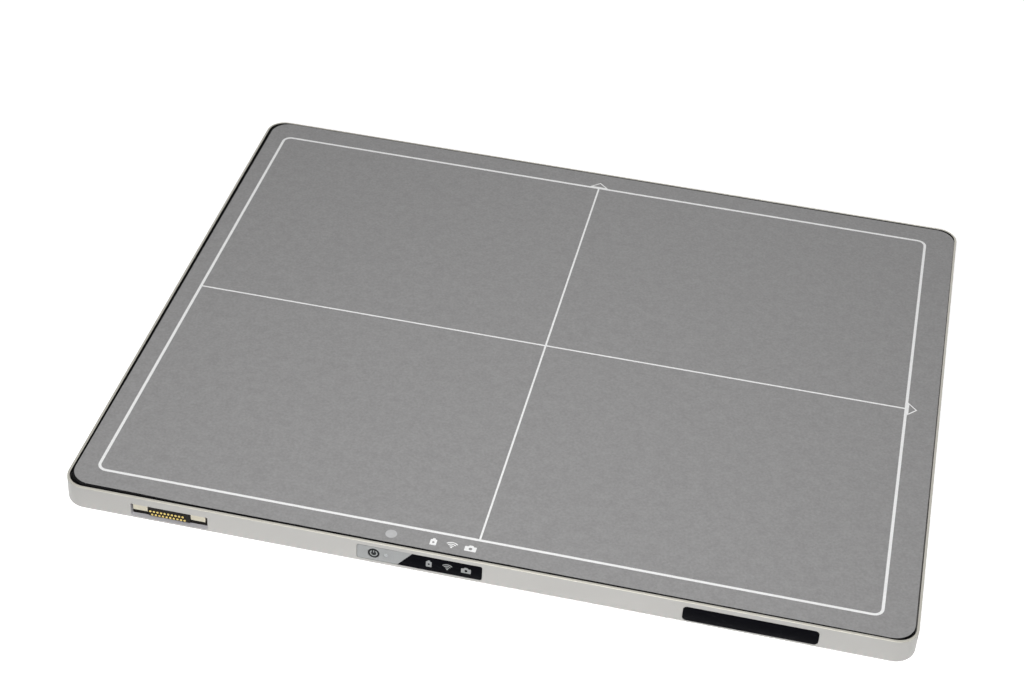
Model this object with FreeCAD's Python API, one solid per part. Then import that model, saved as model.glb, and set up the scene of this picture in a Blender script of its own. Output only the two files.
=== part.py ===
"""Wireless flat panel x-ray detector, the outside size of a 35 x 43 cm film cassette.

Millimetres. The origin is the centre of the back face. +X runs along the long edge, the wall with the
controls looks towards -Y, and the face that takes the x-rays looks towards +Z.
"""
import FreeCAD, Part
import math
import os

V = FreeCAD.Vector

# Outside of the detector
LENGTH = 460.0
WIDTH = 384.0
THICKNESS = 15.0
CORNER_R = 12.0
BACK_EDGE_R = 1.5
FRONT_EDGE_R = 0.3

# Side frame
WALL_T = 4.0
RIM_T = 1.4
LEDGE_REACH = 6.5
LEDGE_T = 1.6
LUG_LENGTH = 9.0
LUG_DEPTH = 7.0
LUG_HOLE_FROM_WALL = 3.4
CORNER_LUG_INSET = 13.0

# Front stack, from the front face down
FILM_RECESS = 0.15
FILM_T = 0.25
FILM_INSET = 0.2
PANEL_T = 2.0
PANEL_GAP_X = 0.75
PANEL_GAP_Y = 0.85
PANEL_R = 12.0
PANEL_TURN_SHARE = 0.48
PANEL_PUSH_SHARE = 0.75
PANEL_GASKET_T = 0.6
PANEL_GASKET_GAP = 0.3
CUSHION_T = 0.7
SCINTILLATOR_T = 0.5
GLASS_T = 0.7
LEAD_T = 0.3
BASE_PLATE_T = 1.8
BASE_PLATE_GAP = 0.6

# Sensor glass in the frame's port, and the scintillator on it: the ribbons need room on two sides
GLASS_LEFT_GAP = 3.5
GLASS_RIGHT_GAP = 6.5
GLASS_FRONT_GAP = 7.0
GLASS_BACK_GAP = 4.0
SCREEN_MARGIN = 2.0
BOND_MARGIN = 5.0

# Bonded ribbons from the glass to the readout and gate boards
RIBBON_T = 0.2
RIBBON_WIDTH = 30.0
RIBBON_BOND = 3.0
RIBBON_BEND_R = 1.2
RIBBON_DROP_GAP = 2.5
RIBBON_SLOT_GAP = 1.0
READOUT_RIBBONS = 8
GATE_RIBBONS = 6
GATE_FRONT_GAP = 21.5
GATE_BACK_GAP = 8.5

# Rear cover and its screws
COVER_T = 1.3
COVER_GAP = 0.3
COVER_LIP = 2.3
REAR_GASKET_T = 0.3
SCREW_R = 1.25
SCREW_HEAD_R = 2.3
SCREW_HEAD_T = 1.0
SCREW_GRIP = 3.6
THREAD_GAP = 0.05
HEAD_GAP = 0.1
DRIVE_R = 0.8
DRIVE_DEPTH = 0.5

# Circuit boards
BOARD_T = 1.2
STANDOFF_H = 1.6
STANDOFF_R = 2.4
BOARD_SCREW_R = 1.0
BOARD_HEAD_R = 1.9
BOARD_HEAD_T = 0.8
BOARD_SCREW_GRIP = 1.2
BOARD_HOLE_INSET = 5.0
BOARD_MARGIN = 30.0
BOARD_GAP = 13.0
BOARD_R = 1.5
READOUT_BOARD_W = 42.0
GATE_BOARD_W = 29.0
BOARD_END = 3.0
RIBBON_TO_BOARD = 4.5
CHIP_H = 1.2
RIBBON_CHIP_W = 6.0
RIBBON_CHIP_SHARE = 0.7
TALL_PART_H = 2.6
PROCESSOR_W = 27.0
CAN_ROOM = 3.0
CAN_T = 0.3
MEMORY_L = 12.0
MEMORY_W = 9.0
MEMORY_GAP = 14.0
INDUCTOR_W = 12.0
INDUCTOR_PITCH = 24.0
INDUCTORS = 3
CHARGER_W = 9.0
CHARGER_GAP = 20.0
LINK_WIDTH = 22.0
LINK_LAP = 8.0

# Battery pack, its bay and its two slide locks
PACK_LENGTH = 180.0
PACK_WIDTH = 100.0
PACK_FROM_END = 182.0
PACK_FROM_FRONT = 132.0
PACK_R = 4.0
PACK_GAP = 0.4
CASE_T = 1.2
CASE_END = 5.0
LID_T = 1.0
SEAL_T = 0.3
SEAL_W = 2.0
SEAL_GAP = 0.1
CELLS = 3
CELL_GAP = 1.0
PACK_BOARD_W = 8.0
BAY_T = 1.0
LOCK_LENGTH = 14.0
LOCK_WIDTH = 20.0
LOCK_T = 2.0
LOCK_TRAVEL = 3.0
LOCK_GAP = 0.2
LOCK_TIP_GAP = 0.5
GRIP_LENGTH = 6.0
GRIP_WIDTH = 14.0
GRIP_RECESS = 0.25
GROOVE_COUNT = 2
GRIP_GROOVE = 0.6
PACK_CONTACTS = 5
CONTACT_PITCH = 4.0
CONTACT_WIDTH = 2.2
CONTACT_T = 0.4
CONTACT_GAP = 0.1
CONTACT_OFFSET = 30.0
PULL_LENGTH = 34.0
PULL_WIDTH = 9.0
PULL_DEPTH = 0.6

# Control film, status window and button in the front wall
FILM_FIT = 0.12
OVERLAY_LEFT = -65.2
WINDOW_RIGHT = 2.7
OVERLAY_HEIGHT = 9.5
OVERLAY_R = 1.2
OVERLAY_SINK = 0.05
SLANT_X = -39.0
SLANT_RUN = 8.2
OVERLAY_T = 0.45
WINDOW_T = 0.8
CONTROL_RISE = 0.15
BUTTON_X = -56.0
BUTTON_R = 3.1
BUTTON_RECESS = 0.1
BUTTON_GAP = 0.15
BUTTON_FLANGE_R = 4.2
BUTTON_FLANGE_T = 0.8
BUTTON_FLANGE_BACK = 0.8
BUTTON_SEAL_T = 0.15
BUTTON_SEAL_GAP = 0.05
DOME_R = 2.5
DOME_H = 0.4
DOME_GAP = 0.05
LED_X = -49.3
LED_R = 1.15
LED_GAP = 0.1
CHIP_LED_H = 0.7
CHIP_LED_W = 1.6
ICONS_X = (-26.0, -16.0, -6.0)
GUIDE_WIDTH = 6.4
GUIDE_HEIGHT = 5.2
CONTROL_BOARD_T = 1.0
CONTROL_BOARD_END = 3.6
WALL_BOARD_GAP = 0.7
WALL_BOSS_R = 2.2
WALL_SCREW_GRIP = 2.4

# Radio window in the front wall
ANTENNA_FROM_END = 85.15
ANTENNA_LENGTH = 70.9
ANTENNA_HEIGHT = 9.6
ANTENNA_DROP = 0.5
ANTENNA_R = 2.5
ANTENNA_T = 0.8
ANTENNA_STEP = 2.4
ANTENNA_PLUG_T = 2.8
ANTENNA_BOARD_GAP = 5.45
ANTENNA_BOARD_END = 0.325
ANTENNA_BOARD_T = 0.6
CABLE_R = 0.6
CABLE_PITCH = 3.0
CABLE_BEND_R = 6.0
CABLE_FROM_WALL = 14.0
RADIO_LENGTH = 17.0
RADIO_WIDTH = 22.0

# Tether connector in the front wall
SOCKET_FROM_END = 60.8
SOCKET_LENGTH = 43.0
SOCKET_HEIGHT = 8.5
SOCKET_DROP = 1.55
SOCKET_DEPTH = 3.0
SOCKET_R = 0.6
SOCKET_BACK_T = 0.4
SOCKET_FIT = 0.05
SOCKET_PLUG_INSET = 2.5
BLOCK_LENGTH = 23.0
BLOCK_HEIGHT = 5.7
BLOCK_TOP_GAP = 0.6
BLOCK_RECESS = 0.4
MAGNET_LENGTH = 8.2
MAGNET_HEIGHT = 3.75
MAGNET_FROM_END = 1.25
MAGNET_RECESS = 0.3
PIN_ROWS = 2
PINS_PER_ROW = 10
PIN_PITCH = 2.02
PIN_ROW_PITCH = 2.2
PIN_STAGGER = 1.0
PIN_R = 0.65
PIN_PROUD = 0.2
PIN_DROP = 1.0
SOCKET_BOARD_T = 0.8
SOCKET_BOARD_END = 5.0

# Levels of the stack, from the front face down to the base plate
FILM_TOP = THICKNESS - FILM_RECESS
PANEL_TOP = FILM_TOP - FILM_T
PANEL_BOTTOM = PANEL_TOP - PANEL_T
LEDGE_TOP = PANEL_BOTTOM - PANEL_GASKET_T
LEDGE_BOTTOM = LEDGE_TOP - LEDGE_T
SCINTILLATOR_TOP = PANEL_BOTTOM - CUSHION_T
GLASS_TOP = SCINTILLATOR_TOP - SCINTILLATOR_T
LEAD_TOP = GLASS_TOP - GLASS_T
PLATE_TOP = LEAD_TOP - LEAD_T
PLATE_BOTTOM = PLATE_TOP - BASE_PLATE_T

# Levels behind the base plate, down to the rear cover
BOARD_TOP = PLATE_BOTTOM - STANDOFF_H
BOARD_BOTTOM = BOARD_TOP - BOARD_T
RIBBON_LEVEL = (BOARD_BOTTOM - RIBBON_T, BOARD_BOTTOM)
SHELF_Z = COVER_T + REAR_GASKET_T
BAY_FLOOR_Z = PLATE_BOTTOM - BAY_T
PACK_TOP = BAY_FLOOR_Z - SEAL_T - SEAL_GAP
CASE_TOP = PACK_TOP - LID_T

# A cut runs this far past the face it leaves, so that no skin is left
PAST = 1.0


def span(centre, length):
    return (centre - length / 2, centre + length / 2)


def grow(pair, by):
    return (pair[0] - by, pair[1] + by)


def middle(pair):
    return (pair[0] + pair[1]) / 2


def spread(count, pitch, centre):
    """Places of a row of equal steps about its centre."""
    return [centre + (i - (count - 1) / 2) * pitch for i in range(count)]


def midway(places):
    """The points half way between neighbours."""
    return [(a + b) / 2 for a, b in zip(places, places[1:])]


def point(axis, u, v, w):
    """A point w along the named axis, with u and v along the other two in X, Y, Z order."""
    return {"X": V(w, u, v), "Y": V(u, w, v), "Z": V(u, v, w)}[axis]


def slab(axis, u, v, w, radius=0.0):
    """A plate u by v, as thick as w along the axis, with its corners rounded."""
    def at(a, b):
        return point(axis, a, b, w[0])

    if radius == 0:
        corners = [at(u[0], v[0]), at(u[1], v[0]), at(u[1], v[1]), at(u[0], v[1])]
        wire = Part.makePolygon(corners + corners[:1])
    else:
        inner_u, inner_v = grow(u, -radius), grow(v, -radius)
        turn = radius * math.sqrt(0.5)
        edges = []
        ring = []
        for cu, cv, su, sv in ((inner_u[1], inner_v[0], 1, -1), (inner_u[1], inner_v[1], 1, 1),
                               (inner_u[0], inner_v[1], -1, 1), (inner_u[0], inner_v[0], -1, -1)):
            on_side, on_end = at(cu, cv + sv * radius), at(cu + su * radius, cv)
            start, end = (on_side, on_end) if su * sv < 0 else (on_end, on_side)
            ring.append((start, end))
            edges.append(Part.Arc(start, at(cu + su * turn, cv + sv * turn), end).toShape())
        for (_, end), (start, _) in zip(ring, ring[1:] + ring[:1]):
            edges.append(Part.makeLine(end, start))
        wire = Part.Wire(Part.__sortEdges__(edges))
    return Part.Face(wire).extrude(point(axis, 0, 0, w[1] - w[0]))


def prism(axis, outline, w):
    """A plate with a straight-sided outline of (u, v) points."""
    corners = [point(axis, u, v, w[0]) for u, v in outline]
    return Part.Face(Part.makePolygon(corners + corners[:1])).extrude(point(axis, 0, 0, w[1] - w[0]))


def rod(axis, radius, u, v, w):
    return Part.makeCylinder(radius, w[1] - w[0], point(axis, u, v, w[0]), point(axis, 0, 0, 1))


def cone(axis, radius_low, radius_high, u, v, w):
    return Part.makeCone(radius_low, radius_high, w[1] - w[0], point(axis, u, v, w[0]), point(axis, 0, 0, 1))


def fuse(solids):
    whole = solids[0]
    for solid in solids[1:]:
        whole = whole.fuse(solid)
    return whole.removeSplitter()


def cut(solid, tools):
    for tool in tools:
        solid = solid.cut(tool)
    return solid


def edges_at(solid, z):
    return [e for e in solid.Edges if abs(e.BoundBox.ZMin - z) < 1e-6 and abs(e.BoundBox.ZMax - z) < 1e-6]


def sweep(corners, radius, profile):
    """A solid of one section along straight runs joined by tangent arcs."""
    edges = []
    start = corners[0]
    for before, corner, after in zip(corners, corners[1:], corners[2:]):
        into = (corner - before).normalize()
        out = (after - corner).normalize()
        reach = radius * math.tan(into.getAngle(out) / 2)
        arc_start, arc_end = corner - into * reach, corner + out * reach
        bisector = (out - into).normalize()
        centre = corner + bisector * math.hypot(radius, reach)
        edges.append(Part.makeLine(start, arc_start))
        edges.append(Part.Arc(arc_start, centre - bisector * radius, arc_end).toShape())
        start = arc_end
    edges.append(Part.makeLine(start, corners[-1]))
    return Part.Wire(edges).makePipeShell([profile], True, False)


def rectangle(corner, along, across):
    points = [corner, corner + along, corner + along + across, corner + across]
    return Part.makePolygon(points + points[:1])


# Outlines that several pieces share
OUTER_X, OUTER_Y = span(0, LENGTH), span(0, WIDTH)
POCKET_X, POCKET_Y = grow(OUTER_X, -RIM_T), grow(OUTER_Y, -RIM_T)
PORT_X, PORT_Y = grow(OUTER_X, -LEDGE_REACH), grow(OUTER_Y, -LEDGE_REACH)
INSIDE_X, INSIDE_Y = grow(OUTER_X, -WALL_T), grow(OUTER_Y, -WALL_T)
COVER_X, COVER_Y = grow(OUTER_X, -COVER_LIP - COVER_GAP), grow(OUTER_Y, -COVER_LIP - COVER_GAP)
PLATE_X, PLATE_Y = grow(PORT_X, -BASE_PLATE_GAP), grow(PORT_Y, -BASE_PLATE_GAP)
POCKET_R = CORNER_R - RIM_T
PORT_R = CORNER_R - LEDGE_REACH
INSIDE_R = CORNER_R - WALL_T
COVER_R = CORNER_R - COVER_LIP - COVER_GAP
FRONT = OUTER_Y[0]
WALL_INSIDE = INSIDE_Y[0]

GLASS_X = (PORT_X[0] + GLASS_LEFT_GAP, PORT_X[1] - GLASS_RIGHT_GAP)
GLASS_Y = (PORT_Y[0] + GLASS_FRONT_GAP, PORT_Y[1] - GLASS_BACK_GAP)
SCREEN_X = (GLASS_X[0] + SCREEN_MARGIN, GLASS_X[1] - BOND_MARGIN)
SCREEN_Y = (GLASS_Y[0] + SCREEN_MARGIN, GLASS_Y[1] - BOND_MARGIN)
READOUT_PITCH = (SCREEN_X[1] - SCREEN_X[0]) / READOUT_RIBBONS
READOUT_PLACES = spread(READOUT_RIBBONS, READOUT_PITCH, middle(SCREEN_X))
READOUT_DROP_Y = GLASS_Y[1] + RIBBON_DROP_GAP
GATE_DROP_X = GLASS_X[1] + RIBBON_DROP_GAP

# Places in the front wall
CONTROL_SPAN_X = (OVERLAY_LEFT, WINDOW_RIGHT)
CONTROL_Z = THICKNESS / 2 + CONTROL_RISE
CONTROL_SPAN_Z = span(THICKNESS / 2, OVERLAY_HEIGHT)
ANTENNA_X = OUTER_X[1] - ANTENNA_FROM_END
ANTENNA_SPAN_X = span(ANTENNA_X, ANTENNA_LENGTH)
ANTENNA_SPAN_Z = span(THICKNESS / 2 - ANTENNA_DROP, ANTENNA_HEIGHT)
SOCKET_X = OUTER_X[0] + SOCKET_FROM_END
SOCKET_SPAN_X = span(SOCKET_X, SOCKET_LENGTH)
SOCKET_SPAN_Z = span(THICKNESS / 2 - SOCKET_DROP, SOCKET_HEIGHT)
SOCKET_BACK = FRONT + SOCKET_DEPTH
WALL_BOARD_Z = (SHELF_Z + PAST, LEDGE_BOTTOM - GLASS_T)

# Battery pack and boards in plan
PACK_X, PACK_Y = OUTER_X[1] - PACK_FROM_END, OUTER_Y[0] + PACK_FROM_FRONT
PACK_SPAN_X, PACK_SPAN_Y = span(PACK_X, PACK_LENGTH), span(PACK_Y, PACK_WIDTH)
BAY_X, BAY_Y = grow(PACK_SPAN_X, PACK_GAP), grow(PACK_SPAN_Y, PACK_GAP)
LOCK_TIP_X = PACK_SPAN_X[0] - LOCK_TIP_GAP
LOCK_SPAN_X = (LOCK_TIP_X - LOCK_LENGTH, LOCK_TIP_X)
LOCK_SPAN_Y = span(PACK_Y, LOCK_WIDTH)
LOCK_Z = (COVER_T + LOCK_GAP, COVER_T + LOCK_GAP + LOCK_T)
GROOVE_DEPTH = LOCK_TRAVEL - LOCK_TIP_GAP + LOCK_GAP
GRIP_SPAN_X = span(middle(LOCK_SPAN_X), GRIP_LENGTH)
GRIP_SPAN_Y = span(PACK_Y, GRIP_WIDTH)
CHANNEL_END_X = LOCK_SPAN_X[0] - LOCK_GAP - BAY_T
CONTACT_PLACES = spread(PACK_CONTACTS, CONTACT_PITCH, PACK_Y - CONTACT_OFFSET)

READOUT_BOARD_X = (READOUT_PLACES[0] - RIBBON_WIDTH / 2 - BOARD_END,
                   READOUT_PLACES[-1] + RIBBON_WIDTH / 2 + BOARD_END)
READOUT_BOARD_Y = (READOUT_DROP_Y - RIBBON_TO_BOARD - READOUT_BOARD_W, READOUT_DROP_Y - RIBBON_TO_BOARD)
GATE_BOARD_X = (GATE_DROP_X - RIBBON_TO_BOARD - GATE_BOARD_W, GATE_DROP_X - RIBBON_TO_BOARD)
GATE_BOARD_Y = (GLASS_Y[0] + GATE_FRONT_GAP, READOUT_BOARD_Y[0] - GATE_BACK_GAP)
GATE_RUN = GATE_BOARD_Y[1] - GATE_BOARD_Y[0] - 2 * BOARD_END - RIBBON_WIDTH
GATE_PLACES = spread(GATE_RIBBONS, GATE_RUN / (GATE_RIBBONS - 1), middle(GATE_BOARD_Y))
SIDE_BOARD_X = (OUTER_X[0] + BOARD_MARGIN, CHANNEL_END_X - BOARD_GAP)
MAIN_BOARD_Y = (BAY_Y[1] + BOARD_GAP, READOUT_BOARD_Y[0] - BOARD_GAP)
POWER_BOARD_Y = (BAY_Y[0], MAIN_BOARD_Y[0] - BOARD_GAP)


def lug_places():
    """Each lug as its screw's place and the direction from it to the wall."""
    corner_x = INSIDE_X[1] - CORNER_LUG_INSET
    front_x = [-corner_x, (SOCKET_SPAN_X[1] + CONTROL_SPAN_X[0]) / 2,
               (CONTROL_SPAN_X[1] + ANTENNA_SPAN_X[0]) / 2, corner_x]
    back_x = [-corner_x] + midway(READOUT_PLACES)[1::2] + [corner_x]
    side_y = midway(GATE_PLACES)[::2]
    places = [(x, INSIDE_Y[0] + LUG_HOLE_FROM_WALL, 0, -1) for x in front_x]
    places += [(x, INSIDE_Y[1] - LUG_HOLE_FROM_WALL, 0, 1) for x in back_x]
    places += [(INSIDE_X[0] + LUG_HOLE_FROM_WALL, y, -1, 0) for y in side_y]
    places += [(INSIDE_X[1] - LUG_HOLE_FROM_WALL, y, 1, 0) for y in side_y]
    return places


def lug_block(place, z, extra):
    """The block of one lug, larger by extra where another piece has to clear it."""
    x, y, towards_x, towards_y = place
    inner = LUG_DEPTH - LUG_HOLE_FROM_WALL + extra
    outer = LUG_HOLE_FROM_WALL + (WALL_T - RIM_T) / 2
    half = LUG_LENGTH / 2 + extra
    if towards_x:
        reach = (x - inner, x + outer) if towards_x > 0 else (x - outer, x + inner)
        return slab("Z", reach, (y - half, y + half), z)
    reach = (y - inner, y + outer) if towards_y > 0 else (y - outer, y + inner)
    return slab("Z", (x - half, x + half), reach, z)


def wall_screw_places():
    """Screws that hold boards to the inside of the front wall, as x and z."""
    ends = grow(control_board_x(), -BOARD_HEAD_R) + grow(socket_board_x(), -BOARD_HEAD_R)
    return [(x, middle(WALL_BOARD_Z)) for x in ends]


def control_board_x():
    return grow(CONTROL_SPAN_X, CONTROL_BOARD_END)


def socket_board_x():
    return grow(SOCKET_SPAN_X, SOCKET_BOARD_END)


def antenna_board_spans():
    length = (ANTENNA_LENGTH - ANTENNA_BOARD_GAP) / 2 - ANTENNA_STEP - ANTENNA_BOARD_END
    return [span(x, length) for x in spread(2, length + ANTENNA_BOARD_GAP, ANTENNA_X)]


def window_outline(by):
    """The black window's outline in the wall: slanted at the left, square at the right."""
    z0, z1 = grow(CONTROL_SPAN_Z, by)
    lower, upper = SLANT_X - SLANT_RUN / 2 - by, SLANT_X + SLANT_RUN / 2 - by
    right = CONTROL_SPAN_X[1] + by
    return [(lower, z0), (right, z0), (right, z1), (upper, z1)]


# Metal frame and the front


def side_frame():
    body = slab("Z", OUTER_X, OUTER_Y, (0, THICKNESS), CORNER_R)
    body = body.makeFillet(BACK_EDGE_R, edges_at(body, 0))
    body = body.makeFillet(FRONT_EDGE_R, edges_at(body, THICKNESS))
    lip_x, lip_y = grow(COVER_X, COVER_GAP), grow(COVER_Y, COVER_GAP)
    body = cut(body, [
        slab("Z", POCKET_X, POCKET_Y, (LEDGE_TOP, THICKNESS + PAST), POCKET_R),
        slab("Z", PORT_X, PORT_Y, (LEDGE_BOTTOM - PAST, LEDGE_TOP + PAST), PORT_R),
        slab("Z", INSIDE_X, INSIDE_Y, (-PAST, LEDGE_BOTTOM), INSIDE_R),
        slab("Z", lip_x, lip_y, (-PAST, SHELF_Z), COVER_R + COVER_GAP),
    ])
    bosses = [rod("Y", WALL_BOSS_R, x, z, (WALL_INSIDE - PAST, WALL_INSIDE + WALL_BOARD_GAP))
              for x, z in wall_screw_places()]
    body = fuse([body] + [lug_block(p, (SHELF_Z, PLATE_BOTTOM), 0) for p in lug_places()] + bosses)
    holes = [rod("Z", SCREW_R + THREAD_GAP, x, y, (SHELF_Z - PAST, PLATE_BOTTOM + PAST))
             for x, y, _, _ in lug_places()]
    holes += [rod("Y", BOARD_SCREW_R + THREAD_GAP, x, z,
                  (WALL_INSIDE + WALL_BOARD_GAP - WALL_SCREW_GRIP, WALL_INSIDE + WALL_BOARD_GAP + PAST))
              for x, z in wall_screw_places()]
    return cut(body, holes + control_cuts() + antenna_cuts() + socket_cuts())


def control_cuts():
    """Recesses for the film and the window, and the ways through the wall behind them."""
    through = (FRONT - PAST, WALL_INSIDE + PAST)
    cuts = [
        slab("Y", grow(CONTROL_SPAN_X, FILM_FIT), grow(CONTROL_SPAN_Z, FILM_FIT),
             (FRONT - PAST, FRONT + OVERLAY_T), OVERLAY_R),
        prism("Y", window_outline(FILM_FIT), (FRONT - PAST, FRONT + WINDOW_T)).common(
            slab("Y", grow(CONTROL_SPAN_X, FILM_FIT), grow(CONTROL_SPAN_Z, FILM_FIT),
                 (FRONT - PAST, FRONT + WINDOW_T), OVERLAY_R)),
        rod("Y", BUTTON_R + BUTTON_GAP, BUTTON_X, CONTROL_Z, through),
        rod("Y", BUTTON_FLANGE_R + BUTTON_GAP, BUTTON_X, CONTROL_Z, (button_seat(), WALL_INSIDE + PAST)),
        rod("Y", LED_R + BUTTON_GAP, LED_X, CONTROL_Z, through),
    ]
    for x in ICONS_X:
        cuts.append(slab("Y", grow(span(x, GUIDE_WIDTH), BUTTON_GAP), grow(guide_z(), BUTTON_GAP), through))
    return cuts


def guide_z():
    return span(CONTROL_Z, GUIDE_HEIGHT)


def antenna_cuts():
    return [
        slab("Y", grow(ANTENNA_SPAN_X, FILM_FIT), grow(ANTENNA_SPAN_Z, FILM_FIT),
             (FRONT - PAST, FRONT + ANTENNA_T), ANTENNA_R),
        slab("Y", grow(ANTENNA_SPAN_X, FILM_FIT - ANTENNA_STEP),
             grow(ANTENNA_SPAN_Z, FILM_FIT - ANTENNA_STEP),
             (FRONT - PAST, WALL_INSIDE + PAST)),
    ]


def socket_cuts():
    plug_x, plug_z = socket_plug_spans()
    return [
        slab("Y", SOCKET_SPAN_X, SOCKET_SPAN_Z, (FRONT - PAST, SOCKET_BACK + SOCKET_BACK_T), SOCKET_R),
        slab("Y", grow(plug_x, SOCKET_FIT), grow(plug_z, SOCKET_FIT), (FRONT - PAST, WALL_INSIDE + PAST)),
    ]


def socket_plug_spans():
    return grow(SOCKET_SPAN_X, -SOCKET_PLUG_INSET), grow(SOCKET_SPAN_Z, -SOCKET_PLUG_INSET / 2)


def seated(solid):
    """The front panel and its film lie as they were bonded: slightly across their gap."""
    turn = PANEL_TURN_SHARE * PANEL_GAP_Y / (LENGTH / 2)
    play_x = PANEL_GAP_X - turn * WIDTH / 2
    play_y = PANEL_GAP_Y - turn * LENGTH / 2
    solid.rotate(V(0, 0, 0), V(0, 0, 1), -math.degrees(turn))
    solid.translate(V(PANEL_PUSH_SHARE * play_x, PANEL_PUSH_SHARE * play_y, 0))
    return solid


def front_panel():
    x, y = grow(POCKET_X, -PANEL_GAP_X), grow(POCKET_Y, -PANEL_GAP_Y)
    return seated(slab("Z", x, y, (PANEL_BOTTOM, PANEL_TOP), PANEL_R))


def front_film():
    x, y = grow(POCKET_X, -PANEL_GAP_X - FILM_INSET), grow(POCKET_Y, -PANEL_GAP_Y - FILM_INSET)
    return seated(slab("Z", x, y, (PANEL_TOP, FILM_TOP), PANEL_R - FILM_INSET))


def panel_gasket():
    outer_x, outer_y = grow(POCKET_X, -PANEL_GASKET_GAP), grow(POCKET_Y, -PANEL_GASKET_GAP)
    inner_x, inner_y = grow(PORT_X, PANEL_GASKET_GAP), grow(PORT_Y, PANEL_GASKET_GAP)
    z = (LEDGE_TOP, PANEL_BOTTOM)
    ring = slab("Z", outer_x, outer_y, z, POCKET_R - PANEL_GASKET_GAP)
    return ring.cut(slab("Z", inner_x, inner_y, grow(z, PAST), PORT_R + PANEL_GASKET_GAP))


# Imaging stack


def front_cushion():
    return slab("Z", SCREEN_X, SCREEN_Y, (SCINTILLATOR_TOP, PANEL_BOTTOM))


def scintillator():
    return slab("Z", SCREEN_X, SCREEN_Y, (GLASS_TOP, SCINTILLATOR_TOP))


def sensor_glass():
    return slab("Z", GLASS_X, GLASS_Y, (LEAD_TOP, GLASS_TOP))


def lead_shield():
    return slab("Z", GLASS_X, GLASS_Y, (PLATE_TOP, LEAD_TOP))


def base_plate():
    """Stiff plate behind the glass: it lies on the lugs and carries every board on its back."""
    plate = slab("Z", PLATE_X, PLATE_Y, (PLATE_BOTTOM, PLATE_TOP), PORT_R - BASE_PLATE_GAP)
    through = (PLATE_BOTTOM - PAST, PLATE_TOP + PAST)
    width = RIBBON_WIDTH + 2 * RIBBON_SLOT_GAP
    cuts = [slab("Z", span(x, width), (READOUT_DROP_Y - RIBBON_SLOT_GAP, PLATE_Y[1] + PAST), through)
            for x in READOUT_PLACES]
    cuts += [slab("Z", (GATE_DROP_X - RIBBON_SLOT_GAP, PLATE_X[1] + PAST), span(y, width), through)
             for y in GATE_PLACES]
    for x, y, _, _ in lug_places():
        cuts.append(rod("Z", SCREW_R + THREAD_GAP, x, y, through))
        cuts.append(cone("Z", SCREW_R + THREAD_GAP, SCREW_HEAD_R + HEAD_GAP, x, y,
                         (PLATE_TOP - SCREW_HEAD_T - HEAD_GAP, PLATE_TOP)))
    for x, y in board_screw_places():
        cuts.append(rod("Z", BOARD_SCREW_R + THREAD_GAP, x, y,
                        (PLATE_BOTTOM - PAST, PLATE_BOTTOM + BOARD_SCREW_GRIP)))
    return cut(plate, cuts)


def countersunk_screw(x, y, head_face, direction, length):
    """A countersunk screw with a hexagon drive. direction is +1 where its head is at the bottom."""
    tip = head_face + direction * length
    neck = head_face + direction * SCREW_HEAD_T
    low_r, high_r = (SCREW_HEAD_R, SCREW_R) if direction > 0 else (SCREW_R, SCREW_HEAD_R)
    head = cone("Z", low_r, high_r, x, y, tuple(sorted((head_face, neck))))
    shank = rod("Z", SCREW_R, x, y, tuple(sorted((neck, tip))))
    turns = [math.radians(60 * i) for i in range(6)]
    hexagon = [(x + DRIVE_R * math.cos(a), y + DRIVE_R * math.sin(a)) for a in turns]
    socket = tuple(sorted((head_face - direction * PAST, head_face + direction * DRIVE_DEPTH)))
    return head.fuse(shank).removeSplitter().cut(prism("Z", hexagon, socket))


def base_plate_screws():
    length = BASE_PLATE_T + BOARD_SCREW_GRIP
    return [countersunk_screw(x, y, PLATE_TOP - HEAD_GAP, -1, length) for x, y, _, _ in lug_places()]


# Ribbons bonded to the glass, with their chips


def readout_ribbons():
    solids = []
    bond_y = GLASS_Y[1] - RIBBON_BOND
    end_y = READOUT_BOARD_Y[0] + READOUT_BOARD_W / 2
    for x in READOUT_PLACES:
        low = x - RIBBON_WIDTH / 2
        level = middle((GLASS_TOP, GLASS_TOP + RIBBON_T))
        corners = [V(low, bond_y, level), V(low, READOUT_DROP_Y, level),
                   V(low, READOUT_DROP_Y, middle(RIBBON_LEVEL)), V(low, end_y, middle(RIBBON_LEVEL))]
        profile = rectangle(V(low, bond_y, GLASS_TOP), V(RIBBON_WIDTH, 0, 0), V(0, 0, RIBBON_T))
        solids.append(sweep(corners, RIBBON_BEND_R, profile))
    return solids


def gate_ribbons():
    solids = []
    bond_x = GLASS_X[1] - RIBBON_BOND
    end_x = GATE_BOARD_X[0] + GATE_BOARD_W / 2
    for y in GATE_PLACES:
        low = y - RIBBON_WIDTH / 2
        level = middle((GLASS_TOP, GLASS_TOP + RIBBON_T))
        corners = [V(bond_x, low, level), V(GATE_DROP_X, low, level),
                   V(GATE_DROP_X, low, middle(RIBBON_LEVEL)), V(end_x, low, middle(RIBBON_LEVEL))]
        profile = rectangle(V(bond_x, low, GLASS_TOP), V(0, RIBBON_WIDTH, 0), V(0, 0, RIBBON_T))
        solids.append(sweep(corners, RIBBON_BEND_R, profile))
    return solids


def chip_on(x, y, length, width, height, top):
    return slab("Z", span(x, length), span(y, width), (top - height, top))


def readout_chips():
    y = READOUT_BOARD_Y[1] - READOUT_BOARD_W / 4
    length = RIBBON_WIDTH * RIBBON_CHIP_SHARE
    return [chip_on(x, y, length, RIBBON_CHIP_W, CHIP_H, RIBBON_LEVEL[0]) for x in READOUT_PLACES]


def gate_chips():
    x = GATE_BOARD_X[1] - GATE_BOARD_W / 4
    length = RIBBON_WIDTH * RIBBON_CHIP_SHARE
    return [chip_on(x, y, RIBBON_CHIP_W / 2, length, CHIP_H, RIBBON_LEVEL[0]) for y in GATE_PLACES]


# Boards behind the base plate


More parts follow.
